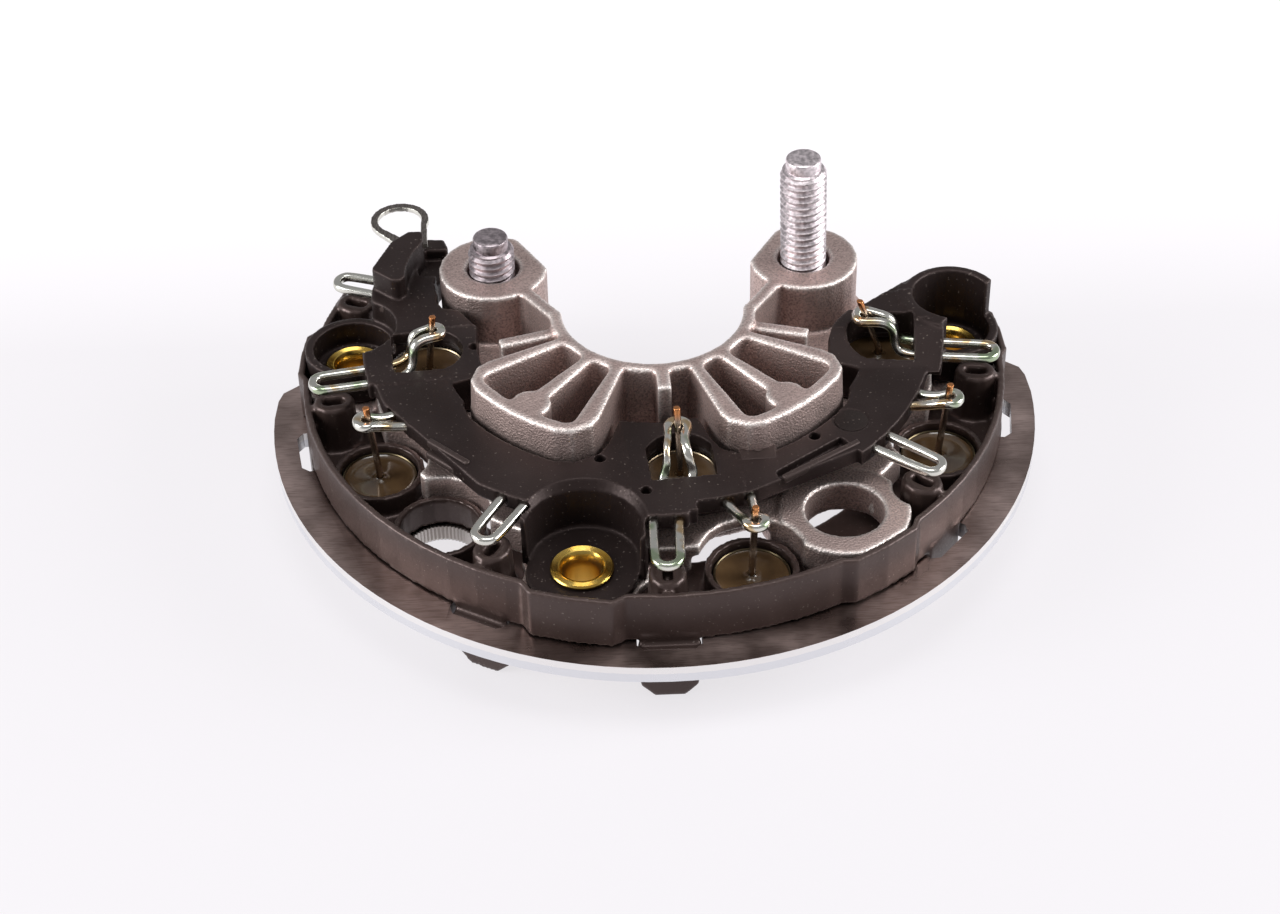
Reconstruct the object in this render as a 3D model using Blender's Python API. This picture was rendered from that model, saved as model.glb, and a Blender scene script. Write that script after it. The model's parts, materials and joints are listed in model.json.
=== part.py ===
"""Alternator rectifier: a crescent of six press-fit diodes between two heat sinks.

The die-cast positive heat sink sits over a plastic wiring tray and a flat negative plate,
and a moulded cover with bare wire terminals is riveted on top of them.
Lengths are metres, and Z = 0 is the plane that the tray's six feet stand on. The pieces are
made round the crescent's own axis, its middle towards -Y, and then moved together until the
origin is under the middle of their box. An angle along the crescent is in degrees from its
middle, positive towards +X.
"""
import math

import bmesh
import bpy
from mathutils import Matrix, Vector

MM = 0.001

# Running clearance between pieces that touch on the real part
GAP = 0.3 * MM

# Heights
FOOT_HEIGHT = 8.6 * MM
PLATE_THICK = 3.0 * MM
PLATE_TOP = FOOT_HEIGHT + PLATE_THICK
TRAY_FLOOR = 1.5 * MM
TRAY_BOTTOM = PLATE_TOP + GAP
TRAY_TOP = TRAY_BOTTOM + TRAY_FLOOR
WALL_HEIGHT = 9.0 * MM
CHIMNEY_HEIGHT = 10.2 * MM
FLANGE_BOTTOM = PLATE_TOP + 3.2 * MM
FLANGE_THICK = 5.3 * MM
FLANGE_TOP = FLANGE_BOTTOM + FLANGE_THICK
RIB_TOP = PLATE_TOP + 20.6 * MM
BOSS_TOP = PLATE_TOP + 18.1 * MM
CUTTER_TOP = PLATE_TOP + 30.0 * MM
COVER_THICK = 6.6 * MM
COVER_BOTTOM = FLANGE_TOP + GAP
COVER_TOP = COVER_BOTTOM + COVER_THICK
WIRE_LEVEL = COVER_TOP - 1.4 * MM

# Negative heat sink, a stamped plate
PLATE_RADIUS = 65.0 * MM
PLATE_INNER = 42.4 * MM
PLATE_END = 98.5
PLATE_EAR_RADIUS = 56.5 * MM
PLATE_EAR_END = 113.0
PLATE_CORNER = 5.0 * MM

# Places along the crescent
CHIMNEY_RADIUS = 54.3 * MM
CHIMNEY_ANGLES = (-110.0, -80.5, -29.8, 0.0, 50.0, 82.8)
NEGATIVE_RADIUS = 50.8 * MM
NEGATIVE_ANGLES = (-64.5, 15.3, 65.2)
SPARE_BORE_ANGLE = -44.6
POSITIVE_RADII = (37.7 * MM, 33.1 * MM, 38.0 * MM)
POSITIVE_ANGLES = (-85.2, 5.2, 85.2)
POSITIVE_LEANS = (1.1 * MM, 3.5 * MM, 3.5 * MM)
RIVET_RADIUS = 51.1 * MM
RIVET_ANGLES = (-95.0, -14.9, 94.8)
EYE_RADIUS = 49.1 * MM
EYE_ANGLE = 35.8
SIDE_NAMES = ("left", "front", "right")

# Wiring tray
TRAY_RADIUS = 59.25 * MM
TRAY_INNER = 43.2 * MM
TRAY_WALL = 1.1 * MM
TRAY_END = 113.0
CHIMNEY_LENGTH = 6.9 * MM
CHIMNEY_WIDTH = 5.9 * MM
CHIMNEY_FLARE = 0.8 * MM
CHIMNEY_EDGE = 0.4 * MM
WIRE_SLOT_LENGTH = 4.4 * MM
WIRE_SLOT_WIDTH = 2.3 * MM
FOOT_WIDTH = 9.2 * MM
FOOT_DEPTH = 8.6 * MM
FOOT_CHAMFER = 2.1 * MM
SLOT_CLEARANCE = 1.0 * MM
SLOT_OUTER_GAP = 1.75 * MM
COLLAR_WALL = 1.1 * MM
COLLAR_HEIGHT = 3.6 * MM

# Press-fit diodes
DIODE_RADIUS = 6.15 * MM
DIODE_WALL = 0.55 * MM
DIODE_BASE = 2.0 * MM
DIODE_HEIGHT = 7.0 * MM
POTTING_DROP = 0.6 * MM
LEAD_RADIUS = 0.6 * MM
NEGATIVE_LEAD_TOP = PLATE_TOP + 19.0 * MM
POSITIVE_LEAD_TOP = PLATE_TOP + 22.4 * MM
POSITIVE_DIODE_TOP = PLATE_TOP + 11.7 * MM

# Positive heat sink, a die casting
CORE_INNER = 15.2 * MM
CORE_WALL = 2.1 * MM
FLANGE_RADIUS = 47.2 * MM
FLANGE_END = 92.0
SCALLOP_RADIUS = 7.3 * MM
LUG_RADIUS = 10.6 * MM
LUG_THICK = 1.7 * MM
EYE_LOBE_RADIUS = 10.6 * MM
EYE_BORE = 6.35 * MM
EYE_RISE = 0.4 * MM
LOBE_RADIUS = 35.7 * MM
LOBE_CORNER = 5.0 * MM
LOBE_ANGLES = (18.5, 64.5)
POCKET_INNER = 17.3 * MM
POCKET_OUTER = 33.4 * MM
POCKET_CORNER = 1.4 * MM
INNER_POCKET = (24.8, 37.2)
OUTER_POCKET = (42.6, 59.0)
POCKET_FLOOR = PLATE_TOP + 6.5 * MM
CAST_DRAFT = 0.9 * MM
SPRUE_RADIUS = 3.3 * MM
SPRUE_PLACE = 31.8 * MM
SPRUE_ANGLE = 39.9
STUB_WIDTH = 2.3 * MM
CENTRE_STUB_END = 22.0 * MM
SIDE_STUB_END = 26.5 * MM
SIDE_STUB_ANGLE = 74.0
SIDE_STUB_DROP = 0.8 * MM
BOSS_PLACE = 31.4 * MM
BOSS_ANGLE = 121.5
BOSS_RADIUS = 9.35 * MM
BOSS_FLAT = 7.8 * MM
BOSS_FLAT_TURN = 30.0
BOSS_BORE = 4.55 * MM
WEB_WIDTH = 2.3 * MM
WEB_START = 87.0
RELIEF_START = 40.2 * MM
RELIEF_ANGLES = (5.0, 22.0)
RELIEF_TOP = FLANGE_TOP - 2.2 * MM

# Studs
STUD_RADIUS = 4.0 * MM
STUD_TIP_RADIUS = 2.9 * MM
STUD_TIP_LENGTH = 2.4 * MM
STUD_TIP_CONE = 1.1 * MM
STUD_TIP_EDGE = 0.3 * MM
LONG_STUD_TOP = PLATE_TOP + 38.5 * MM
SHORT_STUD_TOP = PLATE_TOP + 24.7 * MM
SHORT_STUD_SHIFT = (-0.17 * MM, -0.17 * MM)
STUD_HEAD_RADIUS = 6.2 * MM
STUD_HEAD_THICK = 3.4 * MM

# Connection cover
COVER_RADIUS = 46.5 * MM
COVER_PAD_RADIUS = 48.7 * MM
COVER_NOTCH_RADIUS = 44.4 * MM
COVER_FRONT_RADIUS = 47.3 * MM
TONGUE_RADIUS = 24.3 * MM
SIDE_TONGUE_RADIUS = 29.6 * MM
COVER_FIT = 0.5 * MM
CUP_FLOOR = PLATE_TOP + 6.6 * MM
CUP_FLOOR_THICK = 1.4 * MM
FRONT_CUP_PLACE = 49.5 * MM
FRONT_CUP_BORE = 8.9 * MM
FRONT_CUP_OUTER = 10.0 * MM
FRONT_CUP_DRAFT = 0.5 * MM
FRONT_CUP_FLOOR = 8.9 * MM
SIDE_CUP_BORE = 6.7 * MM
SIDE_CUP_OUTER = 8.2 * MM
SIDE_CUP_TOP = PLATE_TOP + 11.2 * MM
LEFT_CUP_CUT = 7.7 * MM
RIGHT_CUP_TOP = PLATE_TOP + 18.0 * MM
RIGHT_CUP_RIM = 9.1 * MM
RIGHT_CUP_ENDS = (27, 252)
RAMP_TOP = PLATE_TOP + 17.6 * MM
RAMP_DROP = 0.4 * MM
WINDOW_SHIFTS = (0.0, 0.0, -1.9 * MM)
WINDOW_RADIUS = 5.7 * MM
WINDOW_OUTER_EDGES = (43.7 * MM, 38.4 * MM, 43.7 * MM)
WINDOW_WIDTH = 10.4 * MM
WINDOW_STEP = 13.4 * MM
WINDOW_STEP_GROW = 0.35 * MM
COVER_EDGE_THICK = 2.9 * MM
COVER_EDGE_START = 40.6 * MM
COVER_CHORD = 43.7 * MM
COVER_CHORD_ANGLE = 27.7
COVER_CHORD_RUN = (-9.0 * MM, 12.5 * MM)
LEFT_PAD_RADIUS = 47.6 * MM
LEFT_PAD_ANGLES = (-77.0, -25.5)
LEFT_CHORD = 45.8 * MM
LEFT_CHORD_ANGLE = -53.4
LEFT_CHORD_RUN = (-15.0 * MM, 15.0 * MM)
GROOVE_DEPTH = 1.6 * MM
RIDGE_TOP = PLATE_TOP + 19.5 * MM
CHANNEL_FLOOR = PLATE_TOP + 13.2 * MM

# Bare wire
WIRE = 1.55 * MM
WIRE_EDGE = 0.35 * MM
TERMINAL_END = 57.5 * MM
TERMINAL_PITCH = 4.0 * MM
LOOP_PITCH = 3.6 * MM
WIRE_ROOT = 41.2 * MM
LOOP_RISE = 2.2 * MM
POSITIVE_LOOP_RISE = 5.2 * MM
LOOP_TURN_RADII = (40.6 * MM, 37.0 * MM, 40.6 * MM)
LOOP_SHIFTS = (0.5, 0.8, 0.5)
LEG_KNEE = WIRE_ROOT + 3 * MM
WIRE_CHANNEL_GAP = 0.3 * MM

# Hollow rivets and their bushes
RIVET_TUBE = 3.3 * MM
RIVET_BORE = 2.75 * MM
RIVET_FLANGE = 5.0 * MM
RIVET_FLANGE_THICK = 0.7 * MM
BUSH_WALL = 0.9 * MM
BUSH_FLANGE = 7.0 * MM

# Ring terminal
RING_LEVEL = PLATE_TOP + 17.5 * MM
RING_THICK = 0.9 * MM
RING_CENTRE = (-43.3 * MM, 31.4 * MM)
RING_HOLE = 3.85 * MM
RING_OUTER = 5.15 * MM

# Wall of the tray: radius at angles along the crescent, with a step out round each cup and the eye
WALL_STATIONS = ((-113.0, 58.3), (-102.0, 58.3), (-100.0, 60.2), (-90.0, 60.2), (-88.3, 59.25),
                 (-22.5, 59.25), (-20.7, 60.9), (-8.3, 60.9), (-6.3, 59.25), (27.4, 59.25),
                 (29.2, 60.3), (41.0, 60.3), (42.8, 59.25), (88.3, 59.25), (90.0, 60.2),
                 (100.0, 60.2), (102.0, 58.5), (108.0, 58.3))

# Outlines of the cover's left end, in millimetres
BLOCK = ((-47.8, 12.2), (-47.8, 15.1), (-44.6, 23.2), (-41.6, 26.4), (-39.2, 26.6), (-39.2, 29.6),
         (-35.7, 29.4), (-34.9, 26.9), (-36.0, 21.0), (-36.5, 11.0), (-34.0, 6.0), (-40.0, 3.0),
         (-44.4, 5.1))
RIDGE = ((-47.6, 15.2), (-44.5, 23.1), (-41.5, 26.2), (-39.1, 26.1), (-38.7, 23.6), (-40.6, 19.9),
         (-41.6, 16.2), (-41.8, 12.7), (-42.8, 11.5), (-44.1, 12.0))
CHANNEL = ((-40.1, 20.5), (-38.9, 23.4), (-39.0, 26.0), (-30.0, 26.0), (-30.0, 18.5), (-39.6, 18.5))
GROOVE = ((17.9, -37.6), (28.9, -29.6), (30.2, -31.5), (18.3, -39.6))
LEFT_TRIM = ((-37.0, 14.5), (-33.9, 10.1), (-29.2, 2.6), (-20.0, 2.6), (-20.0, 22.0), (-33.0, 22.0))
RIGHT_TRIM = ((29.94, -12.75), (29.1, -10.8), (28.9, -8.9), (29.0, -5.85), (29.85, -3.28), (31.0, -1.2),
              (32.6, 0.8), (34.2, 2.35), (36.24, 3.96), (36.3, 12.0), (24.0, 12.0), (24.0, -12.75))
RIGHT_BACK = ((47.4, 11.2), (45.15, 10.1), (41.8, 7.7), (37.2, 3.85), (34.0, 1.2))
RIGHT_END = (*RIGHT_BACK, (34.0, -2.0), (47.0, -6.0), (48.4, -3.0), (50.9, 4.3))
RAMP_FOOT = ((26.0, -14.06), (50.5, -14.06))
RAMP_CREST = ((26.0, -3.9), (50.5, -3.9))


# Outlines

def at(radius, angle):
    """Point at a radius from the crescent's axis, at an angle from its middle."""
    turn = math.radians(angle)
    return Vector((radius * math.sin(turn), -radius * math.cos(turn)))


def arc(centre, radius, start, end, steps):
    """Points on an arc, with angles in degrees counterclockwise from +X."""
    points = []
    for index in range(steps + 1):
        turn = math.radians(start + (end - start) * index / steps)
        points.append(Vector((centre[0] + radius * math.cos(turn), centre[1] + radius * math.sin(turn))))
    return points


def circle(centre, radius, steps=18):
    return arc(centre, radius, 0, 360, steps)[:-1]


def sweep_arc(radius, start, end, step=6.0):
    """Points along the crescent at one radius, about one every few degrees."""
    count = max(1, round(abs(end - start) / step))
    return [at(radius, start + (end - start) * index / count) for index in range(count + 1)]


def sector(inner, outer, start, end, step=6.0):
    return sweep_arc(outer, start, end, step) + sweep_arc(inner, end, start, step)


def placed(points, centre, angle):
    """Local points, whose -Y is outward, moved to a place and turned to its angle."""
    turn = Matrix.Rotation(math.radians(angle), 2)
    return [turn @ Vector(point) + Vector(centre) for point in points]


def box(width, depth, centre=(0.0, 0.0)):
    x, y = centre
    return [Vector((x + sx * width / 2, y + sy * depth / 2))
            for sx, sy in ((-1, -1), (1, -1), (1, 1), (-1, 1))]


def area(points):
    return sum(a[0] * b[1] - b[0] * a[1] for a, b in zip(points, points[1:] + points[:1])) / 2


def rounded(points, radii, steps=3):
    """Outline with a fillet at each corner; radii is one value or one for each corner."""
    if not isinstance(radii, (list, tuple)):
        radii = [radii] * len(points)
    outline = []
    for index, (corner, radius) in enumerate(zip(points, radii)):
        corner = Vector(corner)
        before = (Vector(points[index - 1]) - corner).normalized()
        after = (Vector(points[(index + 1) % len(points)]) - corner).normalized()
        half = before.angle(after) / 2
        if radius == 0 or half > 1.5:
            outline.append(corner)
            continue
        reach = radius / math.tan(half)
        middle = corner + (before + after).normalized() * radius / math.sin(half)
        first, last = corner + before * reach - middle, corner + after * reach - middle
        for step in range(steps + 1):
            blend = first.lerp(last, step / steps).normalized() * radius
            outline.append(middle + blend)
    return outline


def grown(points, distance):
    """Outline moved outward by a distance along each of its edges."""
    sign = 1 if area(points) > 0 else -1
    result = []
    for index, corner in enumerate(points):
        before = (corner - points[index - 1]).normalized()
        after = (points[(index + 1) % len(points)] - corner).normalized()
        normal = Vector((before.y + after.y, -before.x - after.x)).normalized() * sign
        lean = max(0.3, normal.dot(Vector((before.y, -before.x))) * sign)
        result.append(corner + normal * distance / lean)
    return result


# Solids

def new_object(name, vertices, faces):
    mesh = bpy.data.meshes.new(name)
    mesh.from_pydata(vertices, [], faces)
    shape = bmesh.new()
    shape.from_mesh(mesh)
    bmesh.ops.recalc_face_normals(shape, faces=shape.faces)
    shape.to_mesh(mesh)
    shape.free()
    solid = bpy.data.objects.new(name, mesh)
    bpy.context.scene.collection.objects.link(solid)
    return solid


def loft(name, rings, closed=False):
    """Solid through rings of the same number of points, capped unless the rings close up."""
    count = len(rings[0])
    vertices = [point for ring in rings for point in ring]
    faces = []
    last = len(rings) if closed else len(rings) - 1
    for level in range(last):
        low, high = level * count, (level + 1) % len(rings) * count
        for index in range(count):
            after = (index + 1) % count
            faces.append((low + index, low + after, high + after, high + index))
    if not closed:
        faces.append(tuple(reversed(range(count))))
        faces.append(tuple(range(len(vertices) - count, len(vertices))))
    return new_object(name, vertices, faces)


def prism(outline, bottom, top, top_outline=None, name="tool"):
    """Upright solid on an outline, straight or with a second outline at its top."""
    points = list(outline)
    upper = list(top_outline or outline)
    if area(points) < 0:
        points.reverse()
        upper.reverse()
    rings = [[(p[0], p[1], bottom) for p in points], [(p[0], p[1], top) for p in upper]]
    return loft(name, rings)


def turned(profile, centre=(0.0, 0.0), steps=14, name="tool"):
    """Turned solid: the profile runs up its outside and down its inside or its axis."""
    rings = []
    hollow = all(radius > 0 for radius, height in profile)
    for index in range(steps):
        turn = 2 * math.pi * index / steps
        rings.append([(centre[0] + r * math.cos(turn), centre[1] + r * math.sin(turn), z) for r, z in profile])
    if hollow:
        return loft(name, rings, closed=True)
    flat = [[ring[level] for ring in rings] for level in range(len(profile)) if profile[level][0] > 0]
    return loft(name, flat)


def wire(path, closed=False, size=WIRE, name="tool"):
    """Square wire with broken edges along a path of 3D points, closed or with flat ends."""
    half, edge = size / 2, WIRE_EDGE
    flat = half - edge
    section = [(flat, -half), (half, -flat), (half, flat), (flat, half),
               (-flat, half), (-half, flat), (-half, -flat), (-flat, -half)]
    rings = []
    count = len(path)
    side = Vector((0, 0, 1)).cross(path[1] - path[0]).normalized()
    for index, point in enumerate(path):
        before = path[index - 1] if closed or index else point
        after = path[(index + 1) % count] if closed or index < count - 1 else point
        into, out = (point - before).normalized(), (after - point).normalized()
        along = (into + out).normalized()
        side = (side - along * side.dot(along)).normalized()
        rise = along.cross(side)
        bend = max(0.7, along.dot(out if out.length else into))
        turn = (out - into)
        outward = turn.normalized() if turn.length > 1e-4 and index and index < count - 1 or closed else None
        ring = []
        for x, y in section:
            offset = side * x + rise * y
            if outward and turn.length > 1e-4:
                outward = (turn - along * turn.dot(along)).normalized()
                offset += outward * offset.dot(outward) * (1 / bend - 1)
            ring.append(point + offset)
        rings.append(ring)
    return loft(name, rings, closed)


def combined(target, tools, operation):
    """Target after Boolean modifiers with each tool; the tools are used up."""
    for tool in tools:
        modifier = target.modifiers.new("Shape", "BOOLEAN")
        modifier.operation = operation
        modifier.solver = "EXACT"
        modifier.object = tool
    graph = bpy.context.evaluated_depsgraph_get()
    mesh = bpy.data.meshes.new_from_object(target.evaluated_get(graph))
    target.modifiers.clear()
    target.data = mesh
    for tool in tools:
        bpy.data.objects.remove(tool)
    return target


def fuse(target, *tools):
    return combined(target, tools, "UNION")


def cut(target, *tools):
    return combined(target, tools, "DIFFERENCE")


def finished(solid, name, material):
    """Named node with its material and with smooth shading between its edges."""
    solid.name = name
    solid.data.name = name
    solid.data.materials.clear()
    solid.data.materials.append(material)
    solid.data.shade_smooth()
    solid.data.set_sharp_from_angle(angle=math.radians(35))
    return solid


def material(name, colour, roughness, metallic):
    shade = bpy.data.materials.new(name)
    shade.use_nodes = True
    shader = shade.node_tree.nodes["Principled BSDF"]
    shader.inputs["Base Color"].default_value = (*colour, 1.0)
    shader.inputs["Roughness"].default_value = roughness
    shader.inputs["Metallic"].default_value = metallic
    return shade


# Places that pieces share

def rivet_places():
    return [at(RIVET_RADIUS, angle) for angle in RIVET_ANGLES]


def negative_places():
    return [at(NEGATIVE_RADIUS, angle) for angle in NEGATIVE_ANGLES]


def positive_places():
    return [at(radius, angle) for radius, angle in zip(POSITIVE_RADII, POSITIVE_ANGLES)]


def boss_places():
    return [at(BOSS_PLACE, -BOSS_ANGLE), at(BOSS_PLACE, BOSS_ANGLE)]


def foot_outline(grow=0.0, outer_grow=0.0):
    """Foot seen from above, at the crescent's middle, with its outer side flush with the wall."""
    half = FOOT_WIDTH / 2 + grow
    outer = -TRAY_RADIUS - outer_grow
    inner = -TRAY_RADIUS + FOOT_DEPTH + grow
    corner = 0.3 * MM + outer_grow / 2
    return [Vector(p) for p in ((-half, inner), (-half, outer + corner), (-half + corner, outer),
                                (half - corner, outer), (half, outer + corner), (half, inner))]


# Negative heat sink

def negative_heat_sink(metal):
    corners = [at(PLATE_INNER, -PLATE_END), at(PLATE_RADIUS, -PLATE_END)]
    corners += sweep_arc(PLATE_RADIUS, -PLATE_END + 9, PLATE_END - 9, 3.0)
    corners += [at(PLATE_RADIUS, PLATE_END)] + sweep_arc(PLATE_INNER, PLATE_END, -PLATE_END + 6)
    radii = [0.0] * len(corners)
    radii[1] = PLATE_CORNER
    radii[corners.index(at(PLATE_RADIUS, PLATE_END))] = PLATE_CORNER
    plate = prism(rounded(corners, radii), FOOT_HEIGHT, PLATE_TOP)
    ears = []
    for side in (-1, 1):
        ear = sector(PLATE_INNER + 8 * MM, PLATE_EAR_RADIUS, side * 80, side * PLATE_EAR_END)
        ears.append(prism(ear, FOOT_HEIGHT, PLATE_TOP))
    fuse(plate, *ears)
    low, high = FOOT_HEIGHT - MM, PLATE_TOP + MM
    tools = [prism(circle(place, DIODE_RADIUS + GAP), low, high) for place in negative_places()]
    tools.append(prism(circle(at(NEGATIVE_RADIUS, SPARE_BORE_ANGLE), DIODE_RADIUS), low, high))
    tools += [prism(circle(place, RIVET_TUBE + GAP, 16), low, high) for place in rivet_places()]
    for angle in CHIMNEY_ANGLES:
        slot = placed(foot_outline(SLOT_CLEARANCE / 2, SLOT_OUTER_GAP), (0, 0), angle)
        tools.append(prism(slot, low, high))
    cut(plate, *tools)
    return finished(plate, "negative_heat_sink", metal)


# Wiring tray

def wall_radius(angle):
    """Outer radius of the tray's wall between its measured stations."""
    for (start, low), (end, high) in zip(WALL_STATIONS, WALL_STATIONS[1:]):
        if start <= angle <= end:
            return (low + (high - low) * (angle - start) / (end - start)) * MM
    return WALL_STATIONS[-1][1] * MM


def wall_line(inset):
    """Points along the tray's wall, with one at each of its stations."""
    stations = [angle for angle, radius in WALL_STATIONS]
    between = [a for a in range(-110, 106, 5) if all(abs(a - station) > 2.0 for station in stations)]
    return [at(wall_radius(angle) - inset, angle) for angle in sorted(stations + between)]


def wall_rim():
    """Cutter outline that keeps other pieces clear of the tray's wall."""
    outline = wall_line(TRAY_WALL + GAP)
    return outline + [point * 1.25 for point in reversed(outline)]


def oval(centre, angle, grow, height):
    """Ring of points for the section of a wire guide, long side along the radius."""
    half_width, half_length = CHIMNEY_WIDTH / 2 + grow, CHIMNEY_LENGTH / 2 + grow
    local = [(point[0] * half_width, point[1] * half_length) for point in circle((0, 0), 1.0, 12)]
    return [(p[0], p[1], height) for p in placed(local, centre, angle)]


def chimney(angle):
    """Guide for a stator wire: an oval post on the tray's floor over a foot through the plate."""
    centre = at(CHIMNEY_RADIUS, angle)
    top = PLATE_TOP + CHIMNEY_HEIGHT
    post = loft("tool", [oval(centre, angle, CHIMNEY_FLARE, TRAY_TOP - TRAY_FLOOR / 2),
                         oval(centre, angle, 0.3 * MM, TRAY_TOP + 2 * MM),
                         oval(centre, angle, 0.0, top - CHIMNEY_EDGE),
                         oval(centre, angle, -CHIMNEY_EDGE, top)])
    outline = foot_outline()
    narrow = (FOOT_WIDTH / 2 - FOOT_CHAMFER) / (FOOT_WIDTH / 2)
    tip = [(point[0] * narrow, point[1]) for point in outline]
    rings = []
    for points, height in ((tip, 0.0), (outline, FOOT_CHAMFER), (outline, TRAY_TOP - TRAY_FLOOR / 3)):
        rings.append([(p[0], p[1], height) for p in placed(points, (0, 0), angle)])
    return [post, loft("tool", rings)]


def wire_slot(angle):
    half = WIRE_SLOT_LENGTH / 2
    ends = (arc((0, half - WIRE_SLOT_WIDTH / 2), WIRE_SLOT_WIDTH / 2, 0, 180, 3)
            + arc((0, -half + WIRE_SLOT_WIDTH / 2), WIRE_SLOT_WIDTH / 2, 180, 360, 3))
    outline = placed(ends, at(CHIMNEY_RADIUS, angle), angle)
    return prism(outline, -MM, PLATE_TOP + CHIMNEY_HEIGHT + MM)


def wiring_tray(plastic):
    first, last = WALL_STATIONS[0][0], WALL_STATIONS[-1][0]
    outline = wall_line(0.0) + sweep_arc(TRAY_INNER, last, first)
    hollow = wall_line(TRAY_WALL) + sweep_arc(TRAY_INNER - 4 * MM, last + 4, first - 4)
    tray = prism(outline, TRAY_BOTTOM, PLATE_TOP + WALL_HEIGHT + GAP)
    cut(tray, prism(hollow, TRAY_TOP, CUTTER_TOP))
    additions = []
    for angle in CHIMNEY_ANGLES:
        additions += chimney(angle)
    spots = negative_places() + [at(NEGATIVE_RADIUS, SPARE_BORE_ANGLE)]
    bore = DIODE_RADIUS + GAP
    additions += [prism(circle(place, bore + COLLAR_WALL), TRAY_BOTTOM + MM / 2, TRAY_TOP + COLLAR_HEIGHT)
                  for place in spots]
    fuse(tray, *additions)
    low, high = TRAY_BOTTOM - MM / 2, CUTTER_TOP
    tools = [prism(circle(place, bore), low, high) for place in spots]
    tools += [prism(circle(place, RIVET_TUBE + GAP, 16), low, high) for place in rivet_places()]
    tools += [wire_slot(angle) for angle in CHIMNEY_ANGLES]
    cut(tray, *tools)
    return finished(tray, "wiring_tray", plastic)


# Positive heat sink

def lobe_shape(grow):
    """Rounded lobe outline, grown for its draft or for the cover's clearance round it."""
    start, end = LOBE_ANGLES
    inner, outer = CORE_INNER + 1.2 * MM, LOBE_RADIUS + grow
    start_foot, start_corner = at(inner, start), at(outer, start)
    end_corner, end_foot = at(outer, end), at(inner, end)
    shift_start = (start_corner - start_foot).normalized()
    shift_end = (end_corner - end_foot).normalized()
    start_side = Vector((shift_start.y, -shift_start.x)) * -grow
    end_side = Vector((-shift_end.y, shift_end.x)) * -grow
    corners = [start_foot - start_side, start_corner - start_side, *sweep_arc(outer, start + 10, end - 10),
               end_corner - end_side, end_foot - end_side, *sweep_arc(inner, end - 8, start + 8)]
    count = 2 + len(sweep_arc(outer, start + 10, end - 10))
    radii = [0.0, LOBE_CORNER + grow] + [0.0] * (count - 2) + [LOBE_CORNER + grow]
    radii += [0.0] * (len(corners) - len(radii))
    return rounded(corners, radii, 3)


def mirrored(points):
    return [Vector((-p[0], p[1])) for p in reversed(points)]


def pocket(angles):
    """Tapered pocket between two ribs, narrower at its floor."""
    start, end = angles
    corners = [at(POCKET_INNER, start), at(POCKET_OUTER, start)]
    corners += sweep_arc(POCKET_OUTER, start, end)[1:-1] + [at(POCKET_OUTER, end), at(POCKET_INNER, end)]
    flat = [0.0] * (len(corners) - 4)
    upper = rounded(corners, [POCKET_CORNER, POCKET_CORNER, *flat, POCKET_CORNER, POCKET_CORNER])
    foot = POCKET_CORNER / 3
    lower = rounded(grown(corners, -CAST_DRAFT), [foot, POCKET_CORNER, *flat, POCKET_CORNER, foot])
    return lower, upper


def boss_outline(centre, side):
    """Round boss with one flat towards the back of the crescent's opening."""
    flat = 90.0 + side * (90.0 - BOSS_FLAT_TURN)
    half = math.degrees(math.acos(BOSS_FLAT / BOSS_RADIUS))
    return arc(centre, BOSS_RADIUS, flat + half, flat + 360 - half, 18)


def flange_outline_solid():
    """Scalloped base plate of the casting with its lugs and its eye."""
    plate = prism(sector(CORE_INNER, FLANGE_RADIUS, -FLANGE_END, FLANGE_END), FLANGE_BOTTOM, FLANGE_TOP)
    ears = []
    for side, place in zip((-1, 1), boss_places()):
        ear = [at(CORE_INNER + WEB_WIDTH / 2, side * 80), at(FLANGE_RADIUS - 4 * MM, side * 80),
               at(FLANGE_RADIUS - 4 * MM, side * 98), place + at(BOSS_RADIUS * 0.98, side * 118),
               place + at(BOSS_RADIUS * 0.98, side * 300)]
        ears.append(prism(ear, FLANGE_BOTTOM + 0.04 * MM, FLANGE_TOP - 0.04 * MM))
    fuse(plate, *ears)
    eye = at(EYE_RADIUS, EYE_ANGLE)
    tools = [prism(circle(eye, EYE_LOBE_RADIUS, 28), FLANGE_BOTTOM + 0.02 * MM, FLANGE_TOP + EYE_RISE)]
    for place in rivet_places():
        tools.append(prism(circle(place, LUG_RADIUS, 24), FLANGE_BOTTOM + 0.03 * MM, FLANGE_BOTTOM + LUG_THICK))
    fuse(plate, *tools)
    low, high = FLANGE_BOTTOM - MM, FLANGE_TOP + MM
    spots = negative_places() + [at(NEGATIVE_RADIUS, SPARE_BORE_ANGLE)]
    tools = [prism(circle(place, SCALLOP_RADIUS + COLLAR_WALL), low, high) for place in spots]
    tools += [prism(circle(at(CHIMNEY_RADIUS, angle), CHIMNEY_LENGTH / 2 + 1.3 * MM), low, high)
              for angle in CHIMNEY_ANGLES]
    left, front, right = rivet_places()
    for place, radius in ((left, SIDE_CUP_OUTER), (front, FRONT_CUP_FLOOR), (right, SIDE_CUP_OUTER),
                          (at(FRONT_CUP_PLACE, RIVET_ANGLES[1]), FRONT_CUP_OUTER)):
        tools.append(prism(circle(place, radius + GAP, 24), FLANGE_BOTTOM + LUG_THICK, high))
    tools.append(prism(wall_rim(), low, high))
    tools.append(prism(sector(RELIEF_START, FLANGE_RADIUS + MM, *RELIEF_ANGLES, 4.0), low, RELIEF_TOP))
    return cut(plate, *tools)


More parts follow.
